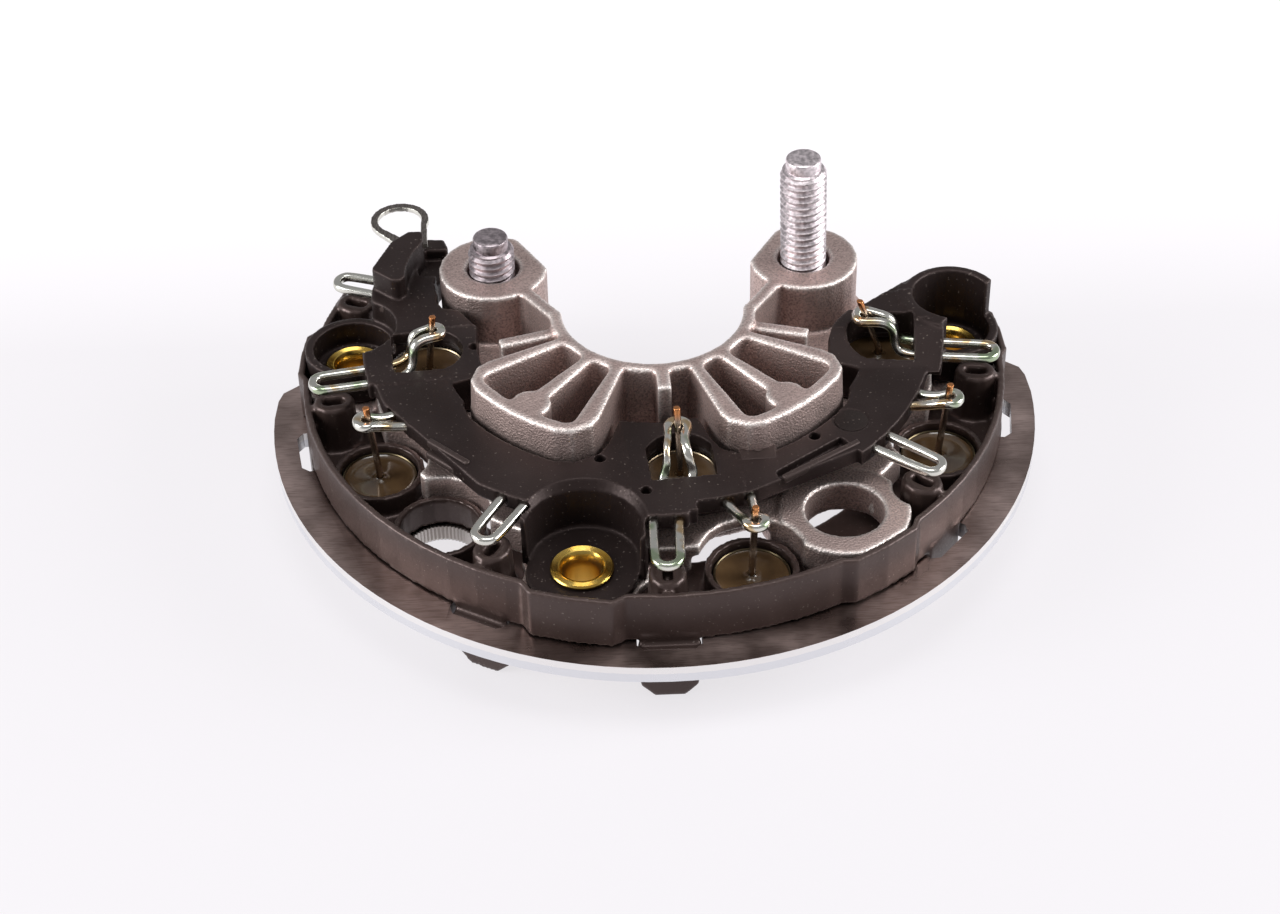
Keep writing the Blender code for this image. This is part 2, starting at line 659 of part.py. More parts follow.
def casting_blocks():
    """Ribs, lobes and bosses that stand on the casting's base plate."""
    blocks = []
    base = FLANGE_BOTTOM + 0.05 * MM
    core = sector(CORE_INNER, CORE_INNER + CORE_WALL, -WEB_START - 2, WEB_START + 2)
    blocks.append(prism(core, base, RIB_TOP))
    upper, lower = lobe_shape(0.0), lobe_shape(CAST_DRAFT)
    for flip in (list, mirrored):
        blocks.append(prism(flip(lower), base + 0.05 * MM, RIB_TOP - 0.001 * MM, flip(upper)))
    stub = box(STUB_WIDTH, CENTRE_STUB_END - CORE_INNER - MM, (0, -(CENTRE_STUB_END + CORE_INNER + MM) / 2))
    blocks.append(prism(placed(stub, (0, 0), 3.0), base, RIB_TOP - 0.002 * MM))
    for side, centre in zip((-1, 1), boss_places()):
        reach = SIDE_STUB_END - CORE_INNER - MM
        stub = box(STUB_WIDTH, reach, (0, -(SIDE_STUB_END + CORE_INNER + MM) / 2))
        blocks.append(prism(placed(stub, (0, 0), side * SIDE_STUB_ANGLE), base, RIB_TOP - SIDE_STUB_DROP))
        blocks.append(prism(boss_outline(centre, side), base + 0.1 * MM, BOSS_TOP))
        start = at(CORE_INNER + WEB_WIDTH / 2, side * WEB_START)
        far = centre + Vector((-0.55 * side, -0.66)) * BOSS_RADIUS
        along = (far - start).normalized()
        across = Vector((-along.y, along.x)) * WEB_WIDTH / 2
        ends = []
        for point, top in ((start, RIB_TOP - 0.003 * MM), (far, BOSS_TOP - 0.2 * MM)):
            left, right = point - across, point + across
            ends.append([(*left, base), (*right, base), (*right, top), (*left, top)])
        blocks.append(loft("tool", ends))
    return blocks


def positive_heat_sink(metal):
    casting = flange_outline_solid()
    fuse(casting, *casting_blocks())
    tools = []
    for angles in (INNER_POCKET, OUTER_POCKET):
        lower, upper = pocket(angles)
        for flip in (list, mirrored):
            tools.append(prism(flip(lower), POCKET_FLOOR, RIB_TOP + 0.01 * MM, flip(upper)))
    for place in positive_places():
        floor = POSITIVE_DIODE_TOP - DIODE_HEIGHT - GAP
        tools.append(prism(circle(place, DIODE_RADIUS + GAP), floor, CUTTER_TOP))
    for place in boss_places():
        tools.append(prism(circle(place, BOSS_BORE), FLANGE_BOTTOM - MM, CUTTER_TOP))
        head = circle(place, STUD_HEAD_RADIUS + 2 * GAP)
        tools.append(prism(head, FLANGE_BOTTOM - MM, FLANGE_BOTTOM + STUD_HEAD_THICK + 2 * GAP))
    for place in rivet_places():
        tools.append(prism(circle(place, RIVET_TUBE + BUSH_WALL + 2 * GAP, 16), FLANGE_BOTTOM - MM, FLANGE_TOP))
    tools.append(prism(circle(at(EYE_RADIUS, EYE_ANGLE), EYE_BORE, 24), FLANGE_BOTTOM - MM, FLANGE_TOP + MM))
    cut(casting, *tools)
    pads = []
    for side in (-1, 1):
        pads.append(prism(circle(at(SPRUE_PLACE, side * SPRUE_ANGLE), SPRUE_RADIUS, 16),
                          POCKET_FLOOR - MM, RIB_TOP - 0.02 * MM))
    fuse(casting, *pads)
    return finished(casting, "positive_heat_sink", metal)


# Studs

def stud(name, place, top, metal):
    bottom = FLANGE_BOTTOM + GAP
    shoulder = bottom + STUD_HEAD_THICK
    neck = top - STUD_TIP_LENGTH
    profile = [(STUD_HEAD_RADIUS, bottom), (STUD_HEAD_RADIUS, shoulder), (STUD_RADIUS, shoulder + 0.01 * MM),
               (STUD_RADIUS, neck - STUD_TIP_CONE), (STUD_TIP_RADIUS, neck),
               (STUD_TIP_RADIUS, top - STUD_TIP_EDGE), (STUD_TIP_RADIUS - STUD_TIP_EDGE, top),
               (0, top), (0, bottom)]
    return finished(turned(profile, place, 20), name, metal)


# Diodes

def diode(name, place, top, lead_top, lean, metals):
    """Pressed cup, its potting and the wire that stands in it."""
    steel, resin, tinned = metals
    base = top - DIODE_HEIGHT
    inner = DIODE_RADIUS - DIODE_WALL
    floor = base + DIODE_BASE
    cup = prism(circle(place, DIODE_RADIUS), base, top)
    cut(cup, prism(circle(place, inner), floor, top + MM))
    finished(cup, name + "_cup", steel)
    potting = prism(circle(place, inner - GAP), floor + GAP, top - POTTING_DROP)
    hole = prism(circle(place, LEAD_RADIUS + GAP, 10), floor - MM, top + MM)
    finished(cut(potting, hole), name + "_potting", resin)
    foot = Vector((*place, floor + 2 * GAP))
    bend = Vector((*place, top + MM))
    tip = Vector((place[0] + lean[0], place[1] + lean[1], lead_top))
    rings = []
    for point in (foot, bend, tip):
        rings.append([(point.x + LEAD_RADIUS * math.cos(t), point.y + LEAD_RADIUS * math.sin(t), point.z)
                      for t in (math.pi * index / 4 for index in range(8))])
    return finished(loft("tool", rings), name + "_lead", tinned)


# Hollow rivets and bushes

def rivet(name, place, brass):
    top = CUP_FLOOR + GAP + RIVET_FLANGE_THICK
    bottom = FOOT_HEIGHT - GAP - RIVET_FLANGE_THICK
    edge = RIVET_FLANGE - 0.25 * MM
    profile = [(RIVET_BORE, bottom), (RIVET_FLANGE, bottom), (RIVET_FLANGE, bottom + RIVET_FLANGE_THICK),
               (RIVET_TUBE, bottom + RIVET_FLANGE_THICK), (RIVET_TUBE, top - RIVET_FLANGE_THICK),
               (RIVET_FLANGE, top - RIVET_FLANGE_THICK), (RIVET_FLANGE, top - 0.25 * MM), (edge, top),
               (RIVET_BORE + 0.9 * MM, top), (RIVET_BORE, top - 1.1 * MM)]
    return finished(turned(profile, place), name, brass)


def bush(name, place, plastic):
    """Insulating sleeve between the rivet and the casting, with a flange on the tray's floor."""
    bore = RIVET_TUBE + GAP
    sleeve = bore + BUSH_WALL
    flange_top = FLANGE_BOTTOM - GAP
    top = CUP_FLOOR - CUP_FLOOR_THICK - GAP
    profile = [(bore, TRAY_TOP + GAP), (BUSH_FLANGE, TRAY_TOP + GAP), (BUSH_FLANGE, flange_top),
               (sleeve, flange_top), (sleeve, top), (bore, top)]
    return finished(turned(profile, place, 12), name, plastic)


# Connection cover

def in_mm(points):
    return [Vector((x * MM, y * MM)) for x, y in points]


def cover_plan():
    """Main band of the cover with its pads, its left block and its right end."""
    band = prism(sector(TONGUE_RADIUS, COVER_RADIUS, -104, 96, 5.0), COVER_BOTTOM, COVER_TOP)
    step = 0.01 * MM
    adds = []
    for start, end in ((-90, -75.8), (76.5, 90)):
        pad = sector(COVER_RADIUS - 3 * MM, COVER_PAD_RADIUS, start, end, 3.5)
        adds.append(prism(pad, COVER_BOTTOM + step, COVER_TOP - step))
    front = sector(COVER_RADIUS - 3 * MM, COVER_FRONT_RADIUS, -5.0, 4.6, 4.0)
    adds.append(prism(front, COVER_BOTTOM + 2 * step, COVER_TOP - 2 * step))
    left = sector(COVER_RADIUS - 3 * MM, LEFT_PAD_RADIUS, *LEFT_PAD_ANGLES)
    adds.append(prism(left, COVER_BOTTOM + 5 * step, COVER_TOP - 5 * step))
    block = rounded(in_mm(BLOCK), [0.5 * MM] * 8 + [0.0] * 5)
    adds.append(prism(block, COVER_BOTTOM + 3 * step, COVER_TOP - 3 * step))
    ridge = in_mm(RIDGE)
    adds.append(prism(rounded(ridge, 0.8 * MM), COVER_TOP - MM, RIDGE_TOP))
    adds.append(prism(in_mm(RIGHT_END), COVER_BOTTOM + 4 * step, COVER_TOP - 4 * step))
    rest = ((50.5, 4.3), *RIGHT_BACK, (26.0, 1.2))
    ramp = prism(in_mm((*RAMP_FOOT, *rest)), COVER_TOP - RAMP_DROP, RAMP_TOP, in_mm((*RAMP_CREST, *rest)))
    beyond = sector(COVER_PAD_RADIUS - step, COVER_PAD_RADIUS + 12 * MM, 58, 118)
    adds.append(cut(ramp, prism(beyond, COVER_BOTTOM, RAMP_TOP + MM)))
    return fuse(band, *adds)


def cup_solids():
    """Floors, collars and upright walls of the three rivet cups."""
    left, front, right = rivet_places()
    floor = CUP_FLOOR - CUP_FLOOR_THICK
    solids = [prism(circle(left, SIDE_CUP_OUTER, 24), floor, SIDE_CUP_TOP),
              prism(circle(right, SIDE_CUP_OUTER, 24), floor, SIDE_CUP_TOP),
              prism(circle(front, FRONT_CUP_FLOOR, 24), floor, CUP_FLOOR)]
    rise = floor + 0.1 * MM
    turn = RIVET_ANGLES[1]
    horseshoe = arc(at(FRONT_CUP_PLACE, turn), FRONT_CUP_OUTER, -4 + turn, 184 + turn, 14)
    solids.append(prism(horseshoe, rise, COVER_TOP - 0.05 * MM))
    start, end = RIGHT_CUP_ENDS
    wall = arc(right, SIDE_CUP_OUTER - 0.05 * MM, start, end, 18)
    solids.append(prism(wall, rise, RIGHT_CUP_TOP))
    rim = arc(right, RIGHT_CUP_RIM, 153, end + 0.2, 9)
    solids.append(prism(rim, COVER_TOP - RAMP_DROP, RIGHT_CUP_TOP - 0.05 * MM))
    return solids


def cup_bores():
    left, front, right = rivet_places()
    high = COVER_TOP + 4 * MM
    centre = at(FRONT_CUP_PLACE, RIVET_ANGLES[1])
    wide = circle(centre, FRONT_CUP_BORE + FRONT_CUP_DRAFT, 24)
    bores = [prism(circle(left, SIDE_CUP_BORE, 24), CUP_FLOOR, high),
             prism(circle(left, LEFT_CUP_CUT, 24), SIDE_CUP_TOP, high),
             prism(circle(centre, FRONT_CUP_BORE, 24), CUP_FLOOR, high, wide),
             prism(circle(right, SIDE_CUP_BORE, 24), CUP_FLOOR, high)]
    for place in rivet_places():
        bores.append(prism(circle(place, RIVET_TUBE + GAP, 16), CUP_FLOOR - 3 * MM, high))
    return bores


def window_outline(place, angle, edge, grow=0.0):
    """Opening over a positive diode: round towards the axis and straight at its sides and outer edge."""
    half = WINDOW_WIDTH / 2 + grow
    reach = place.length - edge - grow
    radius = WINDOW_RADIUS + grow
    spread = math.degrees(math.acos(half / radius))
    local = [(-half, reach), (half, reach)] + arc((0, 0), radius, spread, 180 - spread, 8)
    return placed(local, place, angle)


def leg_box(inner, outer, angle, pitch, level):
    """Cutter for two straight wire legs through the cover's edge."""
    size = WIRE + 2 * WIRE_CHANNEL_GAP
    boxes = []
    for side in (-1, 1):
        local = box(size, outer - inner, (side * pitch / 2, -(inner + outer) / 2))
        boxes.append(prism(placed(local, (0, 0), angle), level - size / 2, level + size / 2))
    return boxes


def cover_trims():
    """Cuts that thin the cover's outer edge and shape its right front side and its left end."""
    low, high = COVER_BOTTOM - 6 * MM, COVER_TOP + 8 * MM
    under = COVER_TOP - COVER_EDGE_THICK
    outer = COVER_PAD_RADIUS + 2 * MM
    tools = [prism(sector(COVER_EDGE_START, outer, -84, -27.5), low, under),
             prism(sector(COVER_EDGE_START, outer, -3.0, 84), low, under)]
    for edge, run, angle in ((COVER_CHORD, COVER_CHORD_RUN, COVER_CHORD_ANGLE),
                             (LEFT_CHORD, LEFT_CHORD_RUN, LEFT_CHORD_ANGLE)):
        chord = [(run[0], -edge), (run[1], -edge), (run[1], -outer), (run[0], -outer)]
        tools.append(prism(placed(chord, (0, 0), angle), low, high))
    tools.append(prism(in_mm(GROOVE), COVER_TOP - GROOVE_DEPTH, high))
    tools.append(prism(in_mm(CHANNEL), CHANNEL_FLOOR, high))
    tools.append(prism(sector(COVER_NOTCH_RADIUS, outer, 6.4, 18.0, 3.4), low, high))
    pocket_shape = grown(ring_outline(), GAP)
    tools.append(prism(pocket_shape, RING_LEVEL - GAP, RING_LEVEL + RING_THICK + GAP))
    return tools


def connection_cover(plastic):
    cover = cover_plan()
    cut(cover, *cover_trims())
    fuse(cover, *cup_solids())
    high = COVER_TOP + 8 * MM
    low = COVER_BOTTOM - 6 * MM
    fitted = lobe_shape(CAST_DRAFT + COVER_FIT)
    tools = [prism(list(fitted), low, high), prism(mirrored(fitted), low, high)]
    for side, place in zip((-1, 1), boss_places()):
        tools.append(prism(circle(place, BOSS_RADIUS + COVER_FIT + 0.4 * MM, 24), low, high))
        inner = sector(12 * MM, SIDE_TONGUE_RADIUS, side * 60, side * 112)
        tools.append(prism(inner, low, high))
        gap = sector(SIDE_TONGUE_RADIUS - 4 * MM, LOBE_RADIUS, side * 58, side * 70)
        tools.append(prism(gap, low, high))
    eye = circle(at(EYE_RADIUS, EYE_ANGLE), EYE_LOBE_RADIUS + 2 * GAP, 28)
    tools.append(prism(eye, low, FLANGE_TOP + EYE_RISE + GAP))
    tools.append(prism(wall_rim(), low, PLATE_TOP + WALL_HEIGHT + 2 * GAP))
    tools.append(prism(in_mm(LEFT_TRIM), low, high))
    tools.append(prism(in_mm(RIGHT_TRIM), low, high))
    windows = zip(positive_places(), POSITIVE_ANGLES, WINDOW_OUTER_EDGES, WINDOW_SHIFTS)
    for place, angle, edge, shift in windows:
        middle = place + Vector((0, shift))
        tools.append(prism(window_outline(middle, angle, edge), low, high))
        tools.append(prism(window_outline(middle, angle, edge, WINDOW_STEP_GROW), low, PLATE_TOP + WINDOW_STEP))
        tools.append(prism(circle(place, DIODE_RADIUS + GAP), low, POSITIVE_DIODE_TOP + GAP))
    tools += cup_bores()
    tools += terminal_cutters()
    return finished(cut(cover, *tools), "connection_cover", plastic)


def terminal_cutters():
    cutters = []
    for index, angle in enumerate(CHIMNEY_ANGLES):
        inner = LEG_KNEE if index % 2 else WIRE_ROOT
        cutters += leg_box(inner - GAP, TERMINAL_END, angle, TERMINAL_PITCH, WIRE_LEVEL)
    size = WIRE + 2 * WIRE_CHANNEL_GAP
    for index in range(3):
        for side in (1, -1):
            knee = placed([(side * TERMINAL_PITCH / 2, -LEG_KNEE)], (0, 0), CHIMNEY_ANGLES[2 * index + 1])[0]
            knee = Vector((*knee, WIRE_LEVEL))
            foot = leg_foot(index, side)[0]
            beyond = (foot - knee).normalized() * size / 2
            cutters.append(wire([knee - beyond, foot + beyond], size=size))
    for angle in NEGATIVE_ANGLES:
        cutters += leg_box(WIRE_ROOT - GAP, TERMINAL_END, angle, TERMINAL_PITCH, WIRE_LEVEL)
    for angle in CHIMNEY_ANGLES:
        bend = box(TERMINAL_PITCH + size, TERMINAL_PITCH, (0, -TERMINAL_END))
        cutters.append(prism(placed(bend, (0, 0), angle), WIRE_LEVEL - size / 2, WIRE_LEVEL + size / 2))
    return cutters


# Wires

def terminal_points(angle, root, level):
    """Plan of an open stator terminal: out, round its end and back."""
    half = TERMINAL_PITCH / 2
    bend = -(TERMINAL_END - half)
    local = [Vector((-half, -root))] + arc((0, bend), half, 180, 360, 5) + [Vector((half, -root))]
    return [Vector((*p, level)) for p in placed(local, (0, 0), angle)]


def stator_terminal(name, angle, tinned):
    return finished(wire(terminal_points(angle, WIRE_ROOT, WIRE_LEVEL)), name, tinned)


def loop_end(lead, angle, level, inward):
    """Half turn of wire round a diode lead, open towards or away from the axis."""
    half = LOOP_PITCH / 2
    facing = 0 if inward else 180
    local = arc((0, 0), half, facing, facing + 180, 4)
    return [Vector((*p, level)) for p in placed(local, lead, angle)]


def eased(path, radius, closed=False):
    """Path whose sharp corners are rounded."""
    result = []
    for index, point in enumerate(path):
        if not closed and index in (0, len(path) - 1):
            result.append(point)
            continue
        before, after = path[index - 1], path[(index + 1) % len(path)]
        into, out = point - before, after - point
        turn = into.angle(out)
        if turn < 0.5:
            result.append(point)
            continue
        reach = min(radius * math.tan(turn / 2), 0.45 * into.length, 0.45 * out.length)
        first, last = point - into.normalized() * reach, point + out.normalized() * reach
        for step in range(3):
            t = step / 2
            result.append(first * (1 - t) ** 2 + point * 2 * t * (1 - t) + last * t ** 2)
    return result


def negative_loop(name, angle, tinned):
    """Loop from the cover's edge out over a negative diode and round its lead."""
    half = TERMINAL_PITCH / 2
    lead = at(NEGATIVE_RADIUS + 1.2 * MM, angle)
    out = WIRE_ROOT + 6.6 * MM
    root = [Vector((*p, WIRE_LEVEL)) for p in placed([(-half, -WIRE_ROOT), (-half, -out)], (0, 0), angle)]
    back = [Vector((*p, WIRE_LEVEL)) for p in placed([(half, -out), (half, -WIRE_ROOT)], (0, 0), angle)]
    path = root + loop_end(lead, angle, WIRE_LEVEL + LOOP_RISE, False) + back
    return finished(wire(eased(path, 1.5 * MM)), name, tinned)


def leg_foot(index, side):
    """Point inside a window where a positive loop's leg turns upward."""
    angle = CHIMNEY_ANGLES[2 * index + 1]
    middle = angle + LOOP_SHIFTS[index] * (POSITIVE_ANGLES[index] - angle)
    spot = placed([(side * TERMINAL_PITCH / 2, -LOOP_TURN_RADII[index])], (0, 0), middle)[0]
    return Vector((*spot, WIRE_LEVEL)), middle


def positive_loop(name, index, lead, tinned):
    """Closed hairpin: stator terminal outside, legs through the cover, loop over a positive lead."""
    outside = terminal_points(CHIMNEY_ANGLES[2 * index + 1], LEG_KNEE, WIRE_LEVEL)
    high = WIRE_LEVEL + POSITIVE_LOOP_RISE
    legs = []
    for side in (1, -1):
        foot, middle = leg_foot(index, side)
        radius = LOOP_TURN_RADII[index] - 0.4 * MM
        head = placed([(side * LOOP_PITCH / 2, -radius)], (0, 0), middle)[0]
        legs.append([foot, Vector((*head, high))])
    path = outside + legs[0] + loop_end(lead, POSITIVE_ANGLES[index], high, True) + legs[1][::-1]
    return finished(wire(eased(path, 2.2 * MM, True), closed=True), name, tinned)


# Ring terminal

def ring_outline():
    """Teardrop outside of the ring terminal, with its tail held in the cover's ridge."""
    return arc(RING_CENTRE, RING_OUTER, -20, 218, 14) + in_mm([(-43.4, 23.7), (-38.2, 23.7)])


def ring_terminal(tinned):
    ring = prism(ring_outline(), RING_LEVEL, RING_LEVEL + RING_THICK)
    hole = arc(RING_CENTRE, RING_HOLE, -15, 222, 14) + in_mm([(-42.6, 25.7), (-39.5, 25.7)])
    cut(ring, prism(hole, RING_LEVEL - MM, RING_LEVEL + 2 * MM))
    return finished(ring, "ring_terminal", tinned)


def centre_all():
    """Every piece moved by one shift, so that the origin is under the middle of their box."""
    points = [vertex.co for item in bpy.data.objects for vertex in item.data.vertices]
    middle = [(min(p[axis] for p in points) + max(p[axis] for p in points)) / 2 for axis in (0, 1)]
    for item in bpy.data.objects:
        item.data.transform(Matrix.Translation((-middle[0], -middle[1], 0.0)))


def main():
    for item in list(bpy.data.objects):
        bpy.data.objects.remove(item)
    cast = material("cast_aluminium", (0.30, 0.27, 0.26), 0.45, 1.0)
    plate_metal = material("plate_aluminium", (0.22, 0.20, 0.20), 0.35, 1.0)
    plastic = material("glass_filled_nylon", (0.030, 0.024, 0.023), 0.45, 0.0)
    zinc = material("zinc_plated_steel", (0.60, 0.60, 0.62), 0.35, 1.0)
    tinned = material("tinned_copper", (0.75, 0.74, 0.68), 0.2, 1.0)
    steel = material("diode_steel", (0.30, 0.26, 0.18), 0.4, 1.0)
    resin = material("potting_resin", (0.09, 0.07, 0.03), 0.15, 0.0)
    brass = material("yellow_zinc", (0.62, 0.47, 0.10), 0.25, 1.0)

    negative_heat_sink(plate_metal)
    wiring_tray(plastic)
    positive_heat_sink(cast)
    connection_cover(plastic)
    left, right = boss_places()
    stud("short_terminal_stud", left + Vector(SHORT_STUD_SHIFT), SHORT_STUD_TOP, zinc)
    stud("long_terminal_stud", right, LONG_STUD_TOP, zinc)
    metals = (steel, resin, tinned)
    for side, place, angle in zip(SIDE_NAMES, negative_places(), NEGATIVE_ANGLES):
        top = PLATE_TOP + 4.3 * MM
        diode(f"negative_diode_{side}", place, top, NEGATIVE_LEAD_TOP, at(1.2 * MM, angle), metals)
        negative_loop(f"negative_loop_{side}", angle, tinned)
    share = (WIRE_LEVEL + POSITIVE_LOOP_RISE - POSITIVE_DIODE_TOP) / (POSITIVE_LEAD_TOP - POSITIVE_DIODE_TOP)
    for index, side in enumerate(SIDE_NAMES):
        place, angle = positive_places()[index], POSITIVE_ANGLES[index]
        lean = at(-POSITIVE_LEANS[index], angle)
        diode(f"positive_diode_{side}", place, POSITIVE_DIODE_TOP, POSITIVE_LEAD_TOP, lean, metals)
        positive_loop(f"positive_loop_{side}", index, place + lean * share, tinned)
    for side, place in zip(SIDE_NAMES, rivet_places()):
        rivet(f"rivet_{side}", place, brass)
        bush(f"insulating_bush_{side}", place, plastic)
    for number in (1, 3, 5):
        stator_terminal(f"stator_terminal_{number}", CHIMNEY_ANGLES[number - 1], tinned)
    ring_terminal(tinned)
    centre_all()


main()
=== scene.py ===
"""Looks of an alternator rectifier: a crescent of press-fit diodes between two heat sinks.

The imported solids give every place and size. Castings and mouldings are copied from them and
get the soft edges of their process; threads, knurls, rivets, diodes and small marks are added.
Lengths are metres, +Z is up and the crescent's middle points to -Y.
"""
import json
import math

import bpy
from bpy.props import FloatProperty, FloatVectorProperty, IntProperty, PointerProperty
from mathutils import Matrix, Vector

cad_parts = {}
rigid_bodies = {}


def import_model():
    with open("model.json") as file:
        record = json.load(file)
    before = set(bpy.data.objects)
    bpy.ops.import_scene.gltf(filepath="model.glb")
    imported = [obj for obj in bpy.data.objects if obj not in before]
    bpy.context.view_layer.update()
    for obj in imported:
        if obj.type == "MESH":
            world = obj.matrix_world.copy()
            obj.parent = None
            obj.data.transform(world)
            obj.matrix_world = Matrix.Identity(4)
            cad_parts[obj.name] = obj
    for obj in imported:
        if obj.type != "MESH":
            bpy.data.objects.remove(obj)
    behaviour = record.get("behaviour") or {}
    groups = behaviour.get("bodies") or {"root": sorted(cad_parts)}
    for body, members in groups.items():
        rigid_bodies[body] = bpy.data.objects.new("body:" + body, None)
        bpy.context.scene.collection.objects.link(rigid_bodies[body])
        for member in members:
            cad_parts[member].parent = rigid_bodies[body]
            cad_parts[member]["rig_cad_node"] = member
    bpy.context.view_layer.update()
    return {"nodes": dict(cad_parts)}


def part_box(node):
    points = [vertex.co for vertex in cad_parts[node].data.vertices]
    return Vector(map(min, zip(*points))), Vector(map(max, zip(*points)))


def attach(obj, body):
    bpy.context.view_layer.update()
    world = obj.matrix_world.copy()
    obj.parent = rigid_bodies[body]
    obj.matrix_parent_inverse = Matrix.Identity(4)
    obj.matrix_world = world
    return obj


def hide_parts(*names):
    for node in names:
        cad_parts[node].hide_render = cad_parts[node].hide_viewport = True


bl_info = {
    "name": "Alternator rectifier",
    "version": (1, 0, 0),
    "blender": (4, 5, 0),
    "location": "3D View > Sidebar > Rectifier",
    "description": "Dresses the solids of an alternator rectifier with its finishes",
    "category": "Object",
}

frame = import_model()

MM = 0.001
SIDES = ("left", "front", "right")
# Points closer than this are merged
WELD = 0.002 * MM

# Heights and radii that pieces share, all read from the solids
PLATE_LOW, PLATE_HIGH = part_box("negative_heat_sink")
PLATE_RADIUS = 65.0 * MM
AXIS_Y = PLATE_LOW.y + PLATE_RADIUS
PLATE_TOP = PLATE_HIGH.z
COVER_TOP = PLATE_TOP + 15.4 * MM
NEGATIVE_RADIUS = 50.8 * MM
SPARE_BORE_ANGLE = -44.6


def linear(code):
    """Linear colour with alpha from an sRGB hex code."""
    channels = [int(code[start:start + 2], 16) / 255 for start in (1, 3, 5)]
    return [c / 12.92 if c <= 0.04045 else ((c + 0.055) / 1.055) ** 2.4 for c in channels] + [1.0]


def length(name, description, default):
    return FloatProperty(name=name, description=description, default=default, min=0.0,
                         subtype="DISTANCE", unit="LENGTH", precision=5)


def colour(name, description, code):
    return FloatVectorProperty(name=name, description=description, default=linear(code),
                               size=4, min=0.0, max=1.0, subtype="COLOR")


class RectifierSizes(bpy.types.PropertyGroup):
    """Sizes that shape the look and don't come from the solids"""
    cast_grid: length("Casting grid", "Grid that rounds the casting's edges", 0.40 * MM)
    cover_grid: length("Cover grid", "Grid that rounds the cover's edges", 0.27 * MM)
    tray_grid: length("Tray grid", "Grid that rounds the tray's edges", 0.34 * MM)
    ring_grid: length("Ring grid", "Grid that rounds the ring terminal's edges", 0.15 * MM)
    lead_grid: length("Lead grid", "Grid that rounds the ends of the diode leads", 0.11 * MM)
    sheet_edge: length("Sheet edge", "Width of the stamped sheet's broken edges", 0.15 * MM)
    thread_pitch: length("Thread pitch", "Height of one turn of the studs' thread", 1.25 * MM)
    thread_depth: length("Thread depth", "Depth of the studs' thread", 0.5 * MM)
    tip_radius: length("Tip radius", "Radius of the plain tip of a stud", 3.0 * MM)
    tip_length: length("Tip length", "Length of the plain tip of a stud", 2.1 * MM)
    stud_lean: FloatProperty(name="Stud lean", description="How far the long stud leans to the left",
                             default=math.radians(1.2), subtype="ANGLE", unit="ROTATION")
    knurl_teeth: IntProperty(name="Knurl teeth", description="Teeth round a diode bore", default=60, min=12)
    pin_mark: length("Pin mark", "Radius of the ejector holes in the cover", 0.9 * MM)


class RectifierColours(bpy.types.PropertyGroup):
    """Colours of the finishes and the stage"""
    cast: colour("Casting", "Bare die-cast aluminium", "#D0BAB4")
    # Painted light: a painted highlight on the casting's edges and painted shade in its hollows, laid on by
    # the mesh's pointiness
    cast_highlight: colour("Casting edges", "Edges that tumbling has brightened", "#FFF6F1")
    cast_painted_shade: colour("Casting hollows", "Hollows that keep their casting skin", "#9A857F")
    plate: colour("Plate", "Top of the rolled plate, dulled by handling", "#97857F")
    plate_patch: colour("Plate patches", "Patches of the plate that stayed pale", "#C2ADA7")
    plate_line: colour("Rolling lines", "Dark lines that rolling leaves on the plate", "#655650")
    plate_edge: colour("Plate edge", "Band that the punch leaves bright", "#EDEBEA")
    plate_tear: colour("Torn edge", "Band below it that tore, a little greyer", "#DFE0E4")
    knurl: colour("Knurl", "Teeth pressed into the aluminium", "#BDB8B4")
    nylon: colour("Cover", "Glass-filled nylon of the cover", "#191211")
    tray: colour("Tray", "Glass-filled nylon of the wiring tray", "#2B211E")
    disc: colour("Date disc", "Nylon with the roughness of spark erosion", "#0A0808")
    fibre: colour("Fibres", "Ends of glass fibres at the surface", "#5A524D")
    # Painted highlight: the edges of the mouldings are painted paler where light catches them
    highlighted: colour("Rubbed nylon", "Edges of the mouldings that are rubbed pale", "#4C423F")
    gloss: colour("Nylon gloss", "Tint of the light that the nylon reflects", "#F7DDD9")
    tin: colour("Tin", "Tin on the copper wire", "#D9D8D0")
    flux: colour("Weld tint", "Green tint that welding leaves on the tin", "#A8B79A")
    straw: colour("Straw tint", "Warm tint that welding leaves on the tin", "#C9B08A")
    lead: colour("Lead", "Diode lead", "#9A8878")
    copper: colour("Copper", "Cut ends of the diode leads", "#CC8A58")
    zinc: colour("Zinc", "Pale zinc plate of the long stud", "#F0E6E9")
    # Painted shade: the short stud has the same zinc plate as the long one, painted darker
    zinc_painted_shade: colour("Dull zinc", "Handled zinc plate of the short stud", "#B8ADB1")
    stamped: colour("Ring terminal", "Brushed tin of the ring terminal", "#8E8782")
    brushed: colour("Brush lines", "Dark brush lines on the ring terminal", "#6E6864")
    cup: colour("Diode cup", "Plated rim of a negative diode's cup", "#625844")
    # Painted light: the positive diodes' cups sit in shade under the cover, so their copy of the plated
    # steel is painted paler
    cup_painted_light: colour("Pale diode cup", "Plated rim of a positive diode's cup", "#A3937A")
    resin: colour("Resin", "Potting of the diodes", "#4A3826")
    resin_cloud: colour("Resin cloud", "Paler cloud in the potting", "#5E4932")
    rivet: colour("Rivet", "Yellow zinc plate of the rivets", "#CBAE5E")
    rivet_cast: colour("Rivet cast", "Orange cast in the yellow plate", "#C08F2C")
    # Painted reflection: the plate deep in the rivet's bore is painted paler
    rivet_bore_reflection: colour("Rivet bore", "Plate in the bore, where it mirrors itself", "#DDC181")
    table: colour("Table", "Surface of the studio table", "#626164")
    floor: colour("Floor light", "Light of the studio table", "#FFFCFF")
    sky: colour("Studio light", "Light from all round", "#FDFCFF")


def sizes():
    return bpy.context.scene.rectifier_sizes


